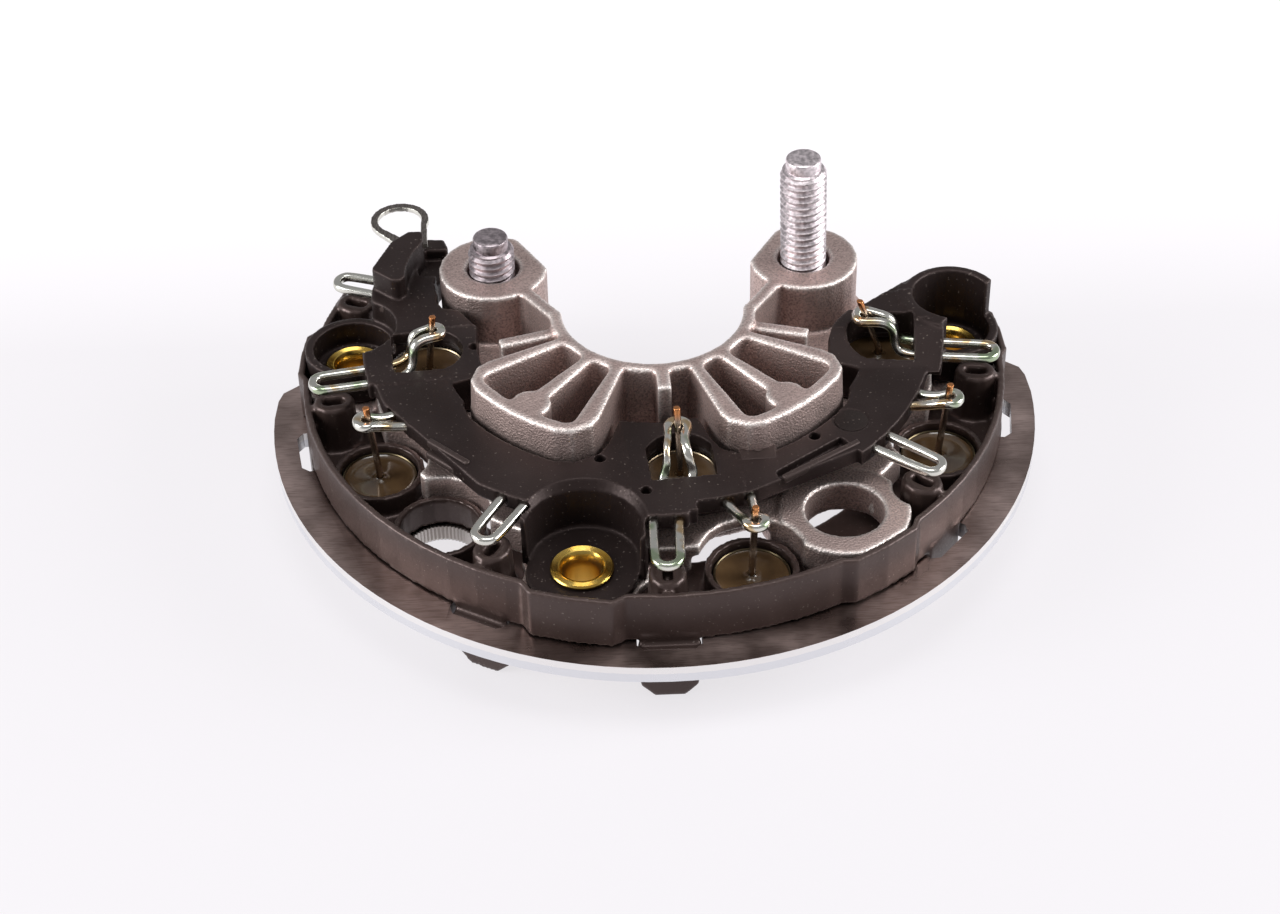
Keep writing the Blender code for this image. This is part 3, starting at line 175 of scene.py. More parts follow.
def colours():
    return bpy.context.scene.rectifier_colours


# Places

def at(radius, angle):
    """Point at a radius from the crescent's axis, at degrees from its middle."""
    turn = math.radians(angle)
    return Vector((radius * math.sin(turn), AXIS_Y - radius * math.cos(turn)))


def from_axis(spot):
    """Point from x and the distance in front of the crescent's axis, in millimetres."""
    return Vector((spot[0] * MM, AXIS_Y - spot[1] * MM))


def centre_of(node):
    low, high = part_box(node)
    return (low + high) / 2


# Modelling by hand

def pick(piece):
    """Makes one piece the only one selected, and active."""
    bpy.ops.object.select_all(action="DESELECT")
    piece.select_set(True)
    bpy.context.view_layer.objects.active = piece


def edit_all(piece):
    pick(piece)
    bpy.ops.object.mode_set(mode="EDIT")
    bpy.ops.mesh.select_all(action="SELECT")


def leave_edit():
    bpy.ops.object.mode_set(mode="OBJECT")


def edit_part(piece, kind, wanted):
    """Opens a piece for editing with just the vertices, edges or faces selected that are wanted."""
    edit_all(piece)
    bpy.ops.mesh.select_mode(type=kind)
    bpy.ops.mesh.select_all(action="DESELECT")
    leave_edit()
    mesh = piece.data
    for part in {"VERT": mesh.vertices, "EDGE": mesh.edges, "FACE": mesh.polygons}[kind]:
        part.select = wanted(part)
    bpy.ops.object.mode_set(mode="EDIT")


def apply_modifier(piece, kind, **settings):
    modifier = piece.modifiers.new(kind.title(), kind)
    for name, value in settings.items():
        setattr(modifier, name, value)
    pick(piece)
    bpy.ops.object.modifier_apply(modifier=modifier.name)


def copied(node):
    """Copy of a solid with its loose triangles merged."""
    pick(frame["nodes"][node])
    bpy.ops.object.duplicate()
    piece = bpy.context.object
    del piece["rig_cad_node"]
    piece.data.materials.clear()
    edit_all(piece)
    bpy.ops.mesh.remove_doubles(threshold=WELD)
    leave_edit()
    return piece


def softened(node, grid, passes, tools=(), plugs=(), keep=1.0):
    """Copy of a solid, filled by plugs, cut by tools and remade on a grid, with its edges rounded.

    Where a share to keep is given, the flats are thinned until that share of the triangles is left.
    """
    piece = copied(node)
    for operation, others in (("UNION", plugs), ("DIFFERENCE", tools)):
        for other in others:
            apply_modifier(piece, "BOOLEAN", operation=operation, solver="EXACT", object=other)
            bpy.data.objects.remove(other)
    apply_modifier(piece, "REMESH", mode="VOXEL", voxel_size=grid)
    apply_modifier(piece, "SMOOTH", factor=0.5, iterations=passes)
    if keep < 1.0:
        apply_modifier(piece, "DECIMATE", ratio=keep)
    return piece


def rounded(node):
    """Copy of a bent wire with its sides and bends made round by subdivision."""
    piece = copied(node)
    edit_all(piece)
    bpy.ops.mesh.tris_convert_to_quads(face_threshold=math.radians(25.0), shape_threshold=math.pi)
    leave_edit()
    apply_modifier(piece, "SUBSURF", levels=2)
    return piece


def smooth(piece, angle=35.0):
    pick(piece)
    bpy.ops.object.shade_smooth_by_angle(angle=math.radians(angle))


def settle(piece):
    """Moves the object's place, turn and scale into its mesh."""
    pick(piece)
    bpy.ops.object.transform_apply(location=True, rotation=True, scale=True)


def cylinder(place, radius, bottom, top, sides=48):
    """Upright cylinder primitive with its place in its mesh."""
    middle = (place[0], place[1], (bottom + top) / 2)
    bpy.ops.object.select_all(action="DESELECT")
    bpy.ops.mesh.primitive_cylinder_add(vertices=sides, radius=radius, depth=top - bottom, location=middle)
    piece = bpy.context.object
    settle(piece)
    return piece


def block(place, size, bottom, top, turn):
    """Box primitive turned about Z, with its place in its mesh."""
    middle = (place[0], place[1], (bottom + top) / 2)
    bpy.ops.object.select_all(action="DESELECT")
    bpy.ops.mesh.primitive_cube_add(size=1.0, location=middle, rotation=(0.0, 0.0, turn))
    piece = bpy.context.object
    piece.scale = (size[0], size[1], top - bottom)
    settle(piece)
    return piece


def profile_line(points, closed):
    """Chain of edges through points (radius, height), from a circle primitive."""
    bpy.ops.object.select_all(action="DESELECT")
    bpy.ops.mesh.primitive_circle_add(vertices=len(points), radius=MM)
    piece = bpy.context.object
    if not closed:
        ends = {0, len(points) - 1}
        edit_part(piece, "EDGE", lambda edge: set(edge.vertices) == ends)
        bpy.ops.mesh.delete(type="EDGE")
        leave_edit()
    for vertex, (radius, height) in zip(piece.data.vertices, points):
        vertex.co = (radius, 0.0, height)
    return piece


def turned(points, place, sides=72):
    """Turned piece: a closed profile of (radius, height) points is spun round an upright axis."""
    piece = profile_line(points, True)
    edit_all(piece)
    bpy.ops.mesh.spin(steps=sides, angle=math.tau, center=(0.0, 0.0, 0.0), axis=(0.0, 0.0, 1.0))
    bpy.ops.mesh.select_all(action="SELECT")
    bpy.ops.mesh.remove_doubles(threshold=WELD)
    bpy.ops.mesh.normals_make_consistent(inside=False)
    leave_edit()
    piece.location = (place[0], place[1], 0.0)
    settle(piece)
    smooth(piece)
    return piece


# The teeth that a pressed diode leaves in its bore
TOOTH_DEPTH = 0.28 * MM
KNURL_WALL = 0.3 * MM


def knurl(place, radius, bottom, top):
    """Ring of upright teeth: every second edge of a tube is drawn inwards, then it gets a wall."""
    edges = 2 * sizes().knurl_teeth
    piece = cylinder(place, radius, bottom, top, edges)
    edit_part(piece, "FACE", lambda polygon: abs(polygon.normal.z) > 0.5)
    bpy.ops.mesh.delete(type="ONLY_FACE")
    leave_edit()
    for vertex in piece.data.vertices:
        away = Vector((vertex.co.x - place[0], vertex.co.y - place[1]))
        index = round(math.atan2(away.y, away.x) / math.tau * edges)
        if index % 2:
            away *= 1 - TOOTH_DEPTH / radius
            vertex.co.x, vertex.co.y = place[0] + away.x, place[1] + away.y
    apply_modifier(piece, "SOLIDIFY", thickness=KNURL_WALL, offset=1.0)
    return piece


def dress(piece, name, material, nodes=()):
    """Names a finished piece, gives it its finish and lets it stand for its solids."""
    piece.name = name
    piece.data.name = name
    piece.data.materials.clear()
    piece.data.materials.append(material)
    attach(piece, "root")
    if nodes:
        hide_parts(*nodes)


# Finishes

PLACE, SKIN, AXES = "ShaderNodeTexCoord", "ShaderNodeNewGeometry", "ShaderNodeSeparateXYZ"
NOISE, STRETCH, RAMP = "ShaderNodeTexNoise", "ShaderNodeMapping", "ShaderNodeValToRGB"
MIX, MATH, SPAN, BUMP = "ShaderNodeMix", "ShaderNodeMath", "ShaderNodeMapRange", "ShaderNodeBump"
# Sockets of a mix node that blends colours
FACTOR, FIRST, SECOND, BLEND = 0, 6, 7, 2


def fill(node, values):
    """Sets a node's sockets and settings. A value that is another node's output gets a link."""
    for key, value in values.items():
        if isinstance(value, bpy.types.NodeSocket):
            node.id_data.links.new(value, node.inputs[key])
        elif isinstance(key, int) or key in node.inputs:
            node.inputs[key].default_value = value
        else:
            setattr(node, key, value)


def add_node(tree, kind, values, output=0, stops=()):
    """Adds a node with its settings, links and any ramp stops of (position, colour or grey)."""
    node = tree.nodes.new(kind)
    fill(node, values)
    for index, (position, value) in enumerate(stops):
        elements = node.color_ramp.elements
        element = elements[index] if index < 2 else elements.new(position)
        element.position = position
        element.color = value if hasattr(value, "__len__") else (value, value, value, 1.0)
    return node.outputs[output]


def new_finish(name, values):
    """Material whose shader has the values that are the same all over."""
    finish = bpy.data.materials.new(name)
    finish.use_nodes = True
    shader = finish.node_tree.nodes["Principled BSDF"]
    fill(shader, values)
    return finish, finish.node_tree, shader


def cast_aluminium():
    """Aluminium, pressure die-cast and tumbled: grainy grey skin, with painted highlights on its edges and
    painted shade in its hollows.
    """
    shades = colours()
    finish, tree, shader = new_finish("die_cast_aluminium", {"Metallic": 1.0})
    place = add_node(tree, PLACE, {}, "Object")
    bend = add_node(tree, SKIN, {}, "Pointiness")
    # Pointiness paints the convex edges brighter as a painted highlight and the hollows darker as painted
    # shade
    tone = add_node(tree, RAMP, {"Fac": bend}, stops=(
        (0.42, shades.cast_painted_shade), (0.495, shades.cast), (0.505, shades.cast), (0.545, shades.cast_highlight)))
    # A grain of 0.36 mm is coarser than the real 0.1 mm skin, so that it shows
    grain = add_node(tree, NOISE, {"Vector": place, "Scale": 1 / (0.36 * MM), "Detail": 1.0})
    clouds = add_node(tree, NOISE, {"Vector": place, "Scale": 1 / (7 * MM)})
    speckle = add_node(tree, RAMP, {"Fac": grain}, stops=((0.34, 0.60), (0.50, 0.84), (0.66, 1.0)))
    patches = add_node(tree, RAMP, {"Fac": clouds}, stops=((0.35, 0.86), (0.65, 1.0)))
    for shade in (speckle, patches):
        tone = add_node(tree, MIX, {"data_type": "RGBA", "blend_type": "MULTIPLY", FACTOR: 1.0,
                                    FIRST: tone, SECOND: shade}, BLEND)
    roughness = add_node(tree, RAMP, {"Fac": grain}, stops=((0.3, 0.62), (0.7, 0.44)))
    dents = add_node(tree, BUMP, {"Height": grain, "Distance": 0.12 * MM})
    fill(shader, {"Base Color": tone, "Roughness": roughness, "Normal": dents})
    return finish


def rolled_plate():
    """Aluminium sheet, rolled and stamped: dull scratched faces and a bright sheared edge."""
    shades = colours()
    finish, tree, shader = new_finish("rolled_aluminium_sheet", {"Metallic": 1.0})
    place = add_node(tree, PLACE, {}, "Object")
    normal = add_node(tree, PLACE, {}, "Normal")
    facing_up = add_node(tree, AXES, {"Vector": normal}, "Z")
    face = add_node(tree, RAMP, {"Fac": facing_up}, stops=((0.55, 0.0), (0.85, 1.0)))
    # Rolling lines 0.25 mm apart and ten times as long, and handling marks of 12 mm
    along = add_node(tree, STRETCH, {"Vector": place, "Scale": (1.0, 10.0, 1.0)})
    lines = add_node(tree, NOISE, {"Vector": along, "Scale": 1 / (2.5 * MM), "Detail": 4.0})
    marks = add_node(tree, NOISE, {"Vector": place, "Scale": 1 / (12 * MM), "Detail": 4.0})
    pale = add_node(tree, RAMP, {"Fac": marks}, stops=((0.40, 0.0), (0.66, 1.0)))
    dark = add_node(tree, RAMP, {"Fac": lines}, stops=((0.45, 0.0), (0.75, 0.5)))
    tone = add_node(tree, MIX, {"data_type": "RGBA", FACTOR: pale, FIRST: shades.plate,
                                SECOND: shades.plate_patch}, BLEND)
    worn = add_node(tree, MIX, {"data_type": "RGBA", FACTOR: dark, FIRST: tone,
                                SECOND: shades.plate_line}, BLEND)
    # The punch leaves a bright band at the top of the sheared edge and a torn greyer one below it
    level = add_node(tree, AXES, {"Vector": place}, "Z")
    around = add_node(tree, STRETCH, {"Vector": place, "Scale": (1.0, 1.0, 0.25)})
    ragged = add_node(tree, NOISE, {"Vector": around, "Scale": 1 / (1.2 * MM), "Detail": 3.0})
    border = add_node(tree, MATH, {"operation": "MULTIPLY_ADD", 0: ragged, 1: 0.3 * MM,
                                   2: PLATE_TOP - 1.5 * MM})
    below = add_node(tree, MATH, {"operation": "LESS_THAN", 0: level, 1: border})
    sheared = add_node(tree, MIX, {"data_type": "RGBA", FACTOR: below, FIRST: shades.plate_edge,
                                   SECOND: shades.plate_tear}, BLEND)
    tone = add_node(tree, MIX, {"data_type": "RGBA", FACTOR: face, FIRST: sheared, SECOND: worn}, BLEND)
    roughness = add_node(tree, RAMP, {"Fac": marks}, stops=((0.3, 0.22), (0.7, 0.42)))
    grooves = add_node(tree, BUMP, {"Height": lines, "Distance": 0.03 * MM, "Strength": 0.5})
    fill(shader, {"Base Color": tone, "Roughness": roughness, "Normal": grooves})
    return finish


def knurled_aluminium():
    """Aluminium, knurled by a pressed diode: pale and bright on its teeth."""
    name = "knurled_aluminium"
    values = {"Metallic": 1.0, "Roughness": 0.35, "Base Color": colours().knurl}
    return bpy.data.materials.get(name) or new_finish(name, values)[0]


def glass_filled_nylon(name, shade, roughness, grain_size, gloss):
    """Nylon with glass fibre, injection moulded: near black, satin, with painted highlights on its edges and
    fibre specks.
    """
    shades = colours()
    finish, tree, shader = new_finish(name, {"IOR": 1.53, "Specular Tint": shades.gloss,
                                             "Specular IOR Level": gloss})
    place = add_node(tree, PLACE, {}, "Object")
    bend = add_node(tree, SKIN, {}, "Pointiness")
    grain = add_node(tree, NOISE, {"Vector": place, "Scale": 1 / grain_size, "Detail": 3.0})
    fibres = add_node(tree, NOISE, {"Vector": place, "Scale": 1 / (0.5 * MM), "Detail": 1.0})
    clouds = add_node(tree, NOISE, {"Vector": place, "Scale": 1 / (9 * MM)})
    flow = add_node(tree, RAMP, {"Fac": clouds}, stops=((0.35, 0.0), (0.70, 0.35)))
    specks = add_node(tree, RAMP, {"Fac": fibres}, stops=((0.70, 0.0), (0.76, 1.0)))
    # Pointiness paints the edges paler, as a painted highlight
    highlighted = add_node(tree, RAMP, {"Fac": bend}, stops=((0.52, 0.0), (0.60, 0.75)))
    tone = shade
    pale = [channel * 1.8 + 0.008 for channel in shade[:3]] + [1.0]
    for factor, paler in ((flow, pale), (specks, shades.fibre), (highlighted, shades.highlighted)):
        tone = add_node(tree, MIX, {"data_type": "RGBA", FACTOR: factor, FIRST: tone, SECOND: paler}, BLEND)
    satin = add_node(tree, RAMP, {"Fac": grain}, stops=((0.3, roughness - 0.06), (0.7, roughness + 0.10)))
    dents = add_node(tree, BUMP, {"Height": grain, "Distance": 0.02 * MM, "Strength": 0.5})
    fill(shader, {"Base Color": tone, "Roughness": satin, "Normal": dents})
    return finish


def tinned_copper(name, tinted):
    """Copper wire, drawn and tinned: bright and smooth, tinted by the heat of welding where asked."""
    shades = colours()
    finish, tree, shader = new_finish(name, {"Metallic": 1.0, "Base Color": shades.tin})
    place = add_node(tree, PLACE, {}, "Object")
    if tinted:
        heat = add_node(tree, NOISE, {"Vector": place, "Scale": 1 / (3.5 * MM), "Detail": 1.0})
        tint = add_node(tree, RAMP, {"Fac": heat}, stops=(
            (0.36, shades.straw), (0.45, shades.tin), (0.56, shades.tin), (0.66, shades.flux)))
        fill(shader, {"Base Color": tint})
    drawn = add_node(tree, NOISE, {"Vector": place, "Scale": 1 / (0.8 * MM)})
    roughness = add_node(tree, RAMP, {"Fac": drawn}, stops=((0.3, 0.16), (0.7, 0.26)))
    dents = add_node(tree, BUMP, {"Height": drawn, "Distance": 0.02 * MM, "Strength": 0.25})
    fill(shader, {"Roughness": roughness, "Normal": dents})
    return finish


def brushed_tin():
    """Copper sheet, tinned and stamped: a grey brushed face with a bright sheared edge."""
    shades = colours()
    finish, tree, shader = new_finish("brushed_tinned_sheet", {"Metallic": 1.0, "Roughness": 0.34})
    place = add_node(tree, PLACE, {}, "Object")
    normal = add_node(tree, PLACE, {}, "Normal")
    facing_up = add_node(tree, AXES, {"Vector": normal}, "Z")
    face = add_node(tree, RAMP, {"Fac": facing_up}, stops=((0.35, 0.0), (0.75, 1.0)))
    # Brush lines 0.3 mm apart
    along = add_node(tree, STRETCH, {"Vector": place, "Scale": (4.0, 1.0, 1.0)})
    lines = add_node(tree, NOISE, {"Vector": along, "Scale": 1 / (1.2 * MM), "Detail": 3.0})
    dark = add_node(tree, RAMP, {"Fac": lines}, stops=((0.4, 0.0), (0.6, 1.0)))
    tone = add_node(tree, MIX, {"data_type": "RGBA", FACTOR: dark, FIRST: shades.stamped,
                                SECOND: shades.brushed}, BLEND)
    tone = add_node(tree, MIX, {"data_type": "RGBA", FACTOR: face, FIRST: shades.tin, SECOND: tone}, BLEND)
    grooves = add_node(tree, BUMP, {"Height": lines, "Distance": 0.03 * MM, "Strength": 0.6})
    fill(shader, {"Base Color": tone, "Normal": grooves})
    return finish


def diode_lead(top):
    """Copper lead, thinly nickel plated: brown-grey, with a bare orange end where it was sheared."""
    shades = colours()
    finish, tree, shader = new_finish("nickel_plated_copper_lead", {"Metallic": 1.0, "Roughness": 0.25})
    place = add_node(tree, PLACE, {}, "Object")
    height = add_node(tree, AXES, {"Vector": place}, "Z")
    reach = add_node(tree, SPAN, {"Value": height, "From Min": top - 1.9 * MM, "From Max": top - 0.7 * MM})
    tone = add_node(tree, MIX, {"data_type": "RGBA", FACTOR: reach, FIRST: shades.lead,
                                SECOND: shades.copper}, BLEND)
    fill(shader, {"Base Color": tone})
    return finish


def zinc_plate(stud, shade):
    """Steel, thread-rolled and zinc plated: pale blue-grey, finely frosted."""
    finish, tree, shader = new_finish(f"zinc_plated_steel_{stud}", {"Metallic": 1.0})
    place = add_node(tree, PLACE, {}, "Object")
    frost = add_node(tree, NOISE, {"Vector": place, "Scale": 1 / (0.6 * MM), "Detail": 3.0})
    pale = add_node(tree, RAMP, {"Fac": frost}, stops=((0.35, 0.0), (0.65, 1.0)))
    darker = [0.62 * channel for channel in shade[:3]] + [1.0]
    tone = add_node(tree, MIX, {"data_type": "RGBA", FACTOR: pale, FIRST: darker, SECOND: shade}, BLEND)
    roughness = add_node(tree, RAMP, {"Fac": frost}, stops=((0.3, 0.28), (0.7, 0.48)))
    dents = add_node(tree, BUMP, {"Height": frost, "Distance": 0.05 * MM, "Strength": 0.4})
    fill(shader, {"Base Color": tone, "Roughness": roughness, "Normal": dents})
    return finish


def plated_steel(kind, shade):
    """Steel, pressed and passivated: thin satin rims."""
    values = {"Metallic": 1.0, "Roughness": 0.3, "Base Color": shade}
    return new_finish(f"passivated_steel_cup_{kind}", values)[0]


def potting_resin():
    """Epoxy, poured and cured: dark olive, glassy, with a faint cloud."""
    shades = colours()
    finish, tree, shader = new_finish("cured_epoxy", {"Roughness": 0.12, "IOR": 1.55, "Coat Weight": 0.4})
    place = add_node(tree, PLACE, {}, "Object")
    cloud = add_node(tree, NOISE, {"Vector": place, "Scale": 1 / (4 * MM)})
    pale = add_node(tree, RAMP, {"Fac": cloud}, stops=((0.35, 0.0), (0.7, 1.0)))
    tone = add_node(tree, MIX, {"data_type": "RGBA", FACTOR: pale, FIRST: shades.resin,
                                SECOND: shades.resin_cloud}, BLEND)
    fill(shader, {"Base Color": tone})
    return finish


def yellow_zinc(top):
    """Steel tube, upset and yellow zinc plated: bright gold with a slight orange cast, and paler deep in its
    bore as a painted reflection.
    """
    shades = colours()
    finish, tree, shader = new_finish("yellow_zinc_plated_rivet", {"Metallic": 1.0, "Roughness": 0.24})
    place = add_node(tree, PLACE, {}, "Object")
    clouds = add_node(tree, NOISE, {"Vector": place, "Scale": 1 / (2.5 * MM)})
    orange = add_node(tree, RAMP, {"Fac": clouds}, stops=((0.35, 0.0), (0.7, 0.7)))
    tone = add_node(tree, MIX, {"data_type": "RGBA", FACTOR: orange, FIRST: shades.rivet,
                                SECOND: shades.rivet_cast}, BLEND)
    # Deeper in the bore the plate is painted paler, as a painted reflection of the bore in itself
    height = add_node(tree, AXES, {"Vector": place}, "Z")
    depth = add_node(tree, SPAN, {"Value": height, "From Min": top - 0.5 * MM, "From Max": top - 1.4 * MM})
    tone = add_node(tree, MIX, {"data_type": "RGBA", FACTOR: depth, FIRST: tone,
                                SECOND: shades.rivet_bore_reflection}, BLEND)
    fill(shader, {"Base Color": tone})
    return finish


# Pieces

class RectifierOperator:
    """What every operator here has in common"""
    bl_options = {"REGISTER", "UNDO"}


class RECTIFIER_OT_casting(RectifierOperator, bpy.types.Operator):
    """Positive heat sink with the rounded edges and grain of a die casting"""
    bl_idname = "rectifier.casting"
    bl_label = "Positive heat sink"

    def execute(self, context):
        piece = softened("positive_heat_sink", sizes().cast_grid, 7, keep=0.66)
        smooth(piece, 60.0)
        dress(piece, "cast_heat_sink", cast_aluminium(), ["positive_heat_sink"])
        return {"FINISHED"}


SPARE_BORE_RADIUS = 6.0 * MM


class RECTIFIER_OT_plate(RectifierOperator, bpy.types.Operator):
    """Negative heat sink, a stamped sheet with a knurled spare bore"""
    bl_idname = "rectifier.plate"
    bl_label = "Negative heat sink"

    def execute(self, context):
        piece = copied("negative_heat_sink")
        edit_all(piece)
        bpy.ops.mesh.dissolve_limited(angle_limit=math.radians(0.5))
        leave_edit()
        apply_modifier(piece, "BEVEL", width=sizes().sheet_edge, segments=2, limit_method="ANGLE",
                       angle_limit=math.radians(50.0))
        smooth(piece, 20.0)
        dress(piece, "stamped_plate", rolled_plate(), ["negative_heat_sink"])
        ring = knurl(at(NEGATIVE_RADIUS, SPARE_BORE_ANGLE), SPARE_BORE_RADIUS, PLATE_LOW.z + 0.3 * MM,
                     PLATE_TOP + 0.1 * MM)
        dress(ring, "spare_bore_knurl", knurled_aluminium())
        return {"FINISHED"}


# The upright sleeves for the stator wires, round the crescent
CHIMNEY_RADIUS = 54.3 * MM
CHIMNEY_ANGLES = (-110.0, -80.5, -29.8, 0.0, 50.0, 82.8)
CHIMNEY_PLUG = (2.9 * MM, 5.0 * MM)
CHIMNEY_SLOT = (1.6 * MM, 3.6 * MM)
# The two front feet fill the outer part of their slots in the plate: angle, shift and width of each
FOOT_RADIUS = 59.9 * MM
FOOT_FILLS = ((0.0, 0.0, 9.9 * MM), (-29.8, 0.4 * MM, 9.4 * MM))


class RECTIFIER_OT_tray(RectifierOperator, bpy.types.Operator):
    """Wiring tray with soft moulded edges"""
    bl_idname = "rectifier.tray"
    bl_label = "Wiring tray"

    def execute(self, context):
        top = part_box("wiring_tray")[1].z
        plugs, tools = [], []
        for angle in CHIMNEY_ANGLES:
            place, turn = at(CHIMNEY_RADIUS, angle), math.radians(angle)
            plugs.append(block(place, CHIMNEY_PLUG, top - 3.4 * MM, top - 0.3 * MM, turn))
            tools.append(block(place, CHIMNEY_SLOT, top - 2.9 * MM, top + MM, turn))
        for angle, shift, width in FOOT_FILLS:
            turn = math.radians(angle)
            place = at(FOOT_RADIUS, angle) + shift * Vector((math.cos(turn), math.sin(turn)))
            plugs.append(block(place, (width, 2.0 * MM), PLATE_LOW.z + 0.4 * MM, PLATE_TOP - 0.4 * MM, turn))
        piece = softened("wiring_tray", sizes().tray_grid, 2, tools, plugs, 0.6)
        smooth(piece, 60.0)
        finish = glass_filled_nylon("moulded_nylon_tray", colours().tray, 0.34, 0.4 * MM, 0.55)
        dress(piece, "moulded_tray", finish, ["wiring_tray"])
        return {"FINISHED"}


# Marks on the cover, each spot as from_axis takes it
PIN_MARKS = ((-30.0, 2.4), (-9.7, 32.8), (-2.7, 41.1), (24.7, 29.2))
DISC_MARK = (30.9, 25.5)
TAB_MARK = (15.4, 32.0)
BEADS = (((-37.0, 26.7), (-30.5, 33.0)), ((18.9, 39.3), (31.6, 31.0)))
LEDGE = ((-37.2, 27.4), (-29.6, 34.7))
# Raised fields between two lines across the cover, each line as two spots
FIELDS = ((((-6.3, 27.0), (-4.8, 47.0)), ((11.8, 27.0), (13.3, 47.0))),
          (((-47.0, 12.4), (-29.0, 10.4)), ((-49.0, -2.0), (-29.0, -4.0))))
FIELD_HEIGHT = 0.12 * MM
# Behind this line the cover has other raised parts, which the fields leave alone
FIELD_BACK = AXIS_Y + 6 * MM
# Where the wires pass through the cover, as (angle, inner radius, outer radius) in millimetres
PLUGS = ((-80.5, 44.1, 48.3), (-29.8, 41.0, 47.1), (0.0, 38.8, 46.9), (50.0, 41.0, 46.1), (82.8, 44.1, 48.3),
         (-64.5, 41.0, 46.3), (15.3, 41.0, 44.0), (65.2, 41.0, 46.1))
PLUG_WIDTH = 6.2 * MM
# The front cup's flared wall, from the radius of its floor to that of its mouth
FRONT_CUP_PLACE = (-12.7, 47.8)
FRONT_CUP_FLOOR, FRONT_CUP_MOUTH = 9.2 * MM, 10.3 * MM


def bead(start, end, width, bottom, top):
    """Bar along a line, with rounded edges."""
    first, last = from_axis(start), from_axis(end)
    run = last - first
    piece = block((first + last) / 2, (run.length, width), bottom, top, math.atan2(run.y, run.x))
    apply_modifier(piece, "BEVEL", width=0.3 * width, segments=3, limit_method="ANGLE")
    return piece


class RECTIFIER_OT_cover(RectifierOperator, bpy.types.Operator):
    """Connection cover with its ejector holes, raised fields, beads and tool marks"""
    bl_idname = "rectifier.cover"
    bl_label = "Connection cover"

    def execute(self, context):
        tools = [cylinder(from_axis(spot), sizes().pin_mark, COVER_TOP - 1.8 * MM, COVER_TOP + MM, 20)
                 for spot in PIN_MARKS]
        tools.append(cylinder(from_axis(DISC_MARK), 3.0 * MM, COVER_TOP - 0.2 * MM, COVER_TOP + MM, 40))
        tools.append(self.front_cup())
        plugs = []
        for angle, inner, outer in PLUGS:
            middle = at((inner + outer) / 2 * MM, angle)
            plugs.append(block(middle, (PLUG_WIDTH, (outer - inner) * MM), COVER_TOP - 2.7 * MM,
                               COVER_TOP - 0.3 * MM, math.radians(angle)))
        piece = softened("connection_cover", sizes().cover_grid, 3, tools, plugs, 0.6)
        for lines in FIELDS:
            self.raise_field(piece, *lines)
        smooth(piece, 60.0)
        finish = glass_filled_nylon("moulded_nylon_cover", colours().nylon, 0.42, 0.3 * MM, 0.26)
        dress(piece, "moulded_cover", finish, ["connection_cover"])
        for number, mark in enumerate(self.marks()):
            smooth(mark)
            dress(mark, f"cover_mark_{number + 1}", finish)
        disc = cylinder(from_axis(DISC_MARK), 2.7 * MM, COVER_TOP - 0.5 * MM, COVER_TOP - 0.02 * MM, 48)
        apply_modifier(disc, "BEVEL", width=0.08 * MM, segments=2, limit_method="ANGLE")
        smooth(disc)
        rough = glass_filled_nylon("spark_eroded_nylon", colours().disc, 0.6, 0.5 * MM, 0.15)
        dress(disc, "date_disc", rough)
        return {"FINISHED"}

    def front_cup(self):
        """Cutter for the flared wall of the front cup."""
        middle = from_axis(FRONT_CUP_PLACE)
        piece = cylinder(middle, FRONT_CUP_FLOOR, COVER_TOP - 1.4 * MM, COVER_TOP + 0.1 * MM)
        edit_part(piece, "FACE", lambda polygon: polygon.normal.z > 0.5)
        flare = FRONT_CUP_MOUTH / FRONT_CUP_FLOOR
        bpy.ops.transform.resize(value=(flare, flare, 1.0), center_override=(*middle, COVER_TOP))
        leave_edit()
        return piece

    def marks(self):
        """The round-edged tab with its dot, two beads and the ledge."""
        tab = block(from_axis((TAB_MARK[0], TAB_MARK[1] + 0.6)), (6.2 * MM, 4.2 * MM), COVER_TOP - MM,
                    COVER_TOP + 0.05 * MM, math.radians(2.0))
        apply_modifier(tab, "BEVEL", width=0.9 * MM, segments=4, limit_method="ANGLE")
        dot = cylinder(from_axis(TAB_MARK), 0.7 * MM, COVER_TOP - MM, COVER_TOP + 0.2 * MM, 24)
        beads = [bead(*ends, 1.1 * MM, COVER_TOP - MM, COVER_TOP + 0.32 * MM) for ends in BEADS]
        return [tab, dot, *beads, bead(*LEDGE, 1.4 * MM, COVER_TOP - 2.8 * MM, COVER_TOP - 1.5 * MM)]

    def raise_field(self, piece, first, second):
        """Cuts the cover's mesh along two lines and draws the top between them up by a hair."""
        inside = (from_axis(first[0]) + from_axis(second[1])) / 2
        sides = []
        for line in (first, second):
            start, end = from_axis(line[0]), from_axis(line[1])
            side = (end - start).orthogonal().normalized()
            if side.dot(inside - start) < 0:
                side.negate()
            sides.append((start, side))
            edit_all(piece)
            bpy.ops.mesh.bisect(plane_co=(*start, COVER_TOP), plane_no=(*side, 0.0))
            leave_edit()

        def in_field(vertex):
            spot = Vector((vertex.co.x, vertex.co.y))
            between = all((spot - start).dot(side) > 0.02 * MM for start, side in sides)
            return between and vertex.co.z > COVER_TOP - 0.5 * MM and spot.y < FIELD_BACK

        edit_part(piece, "VERT", in_field)
        bpy.ops.transform.translate(value=(0.0, 0.0, FIELD_HEIGHT))
        leave_edit()


THREAD_RADIUS = 3.95 * MM
STUD_HEAD = 4.0 * MM
# The long stud leans about a point this far up, and is shorter by a hair to stay in the solids' box
LEAN_START = 12 * MM
LEAN_ROOM = 0.1 * MM


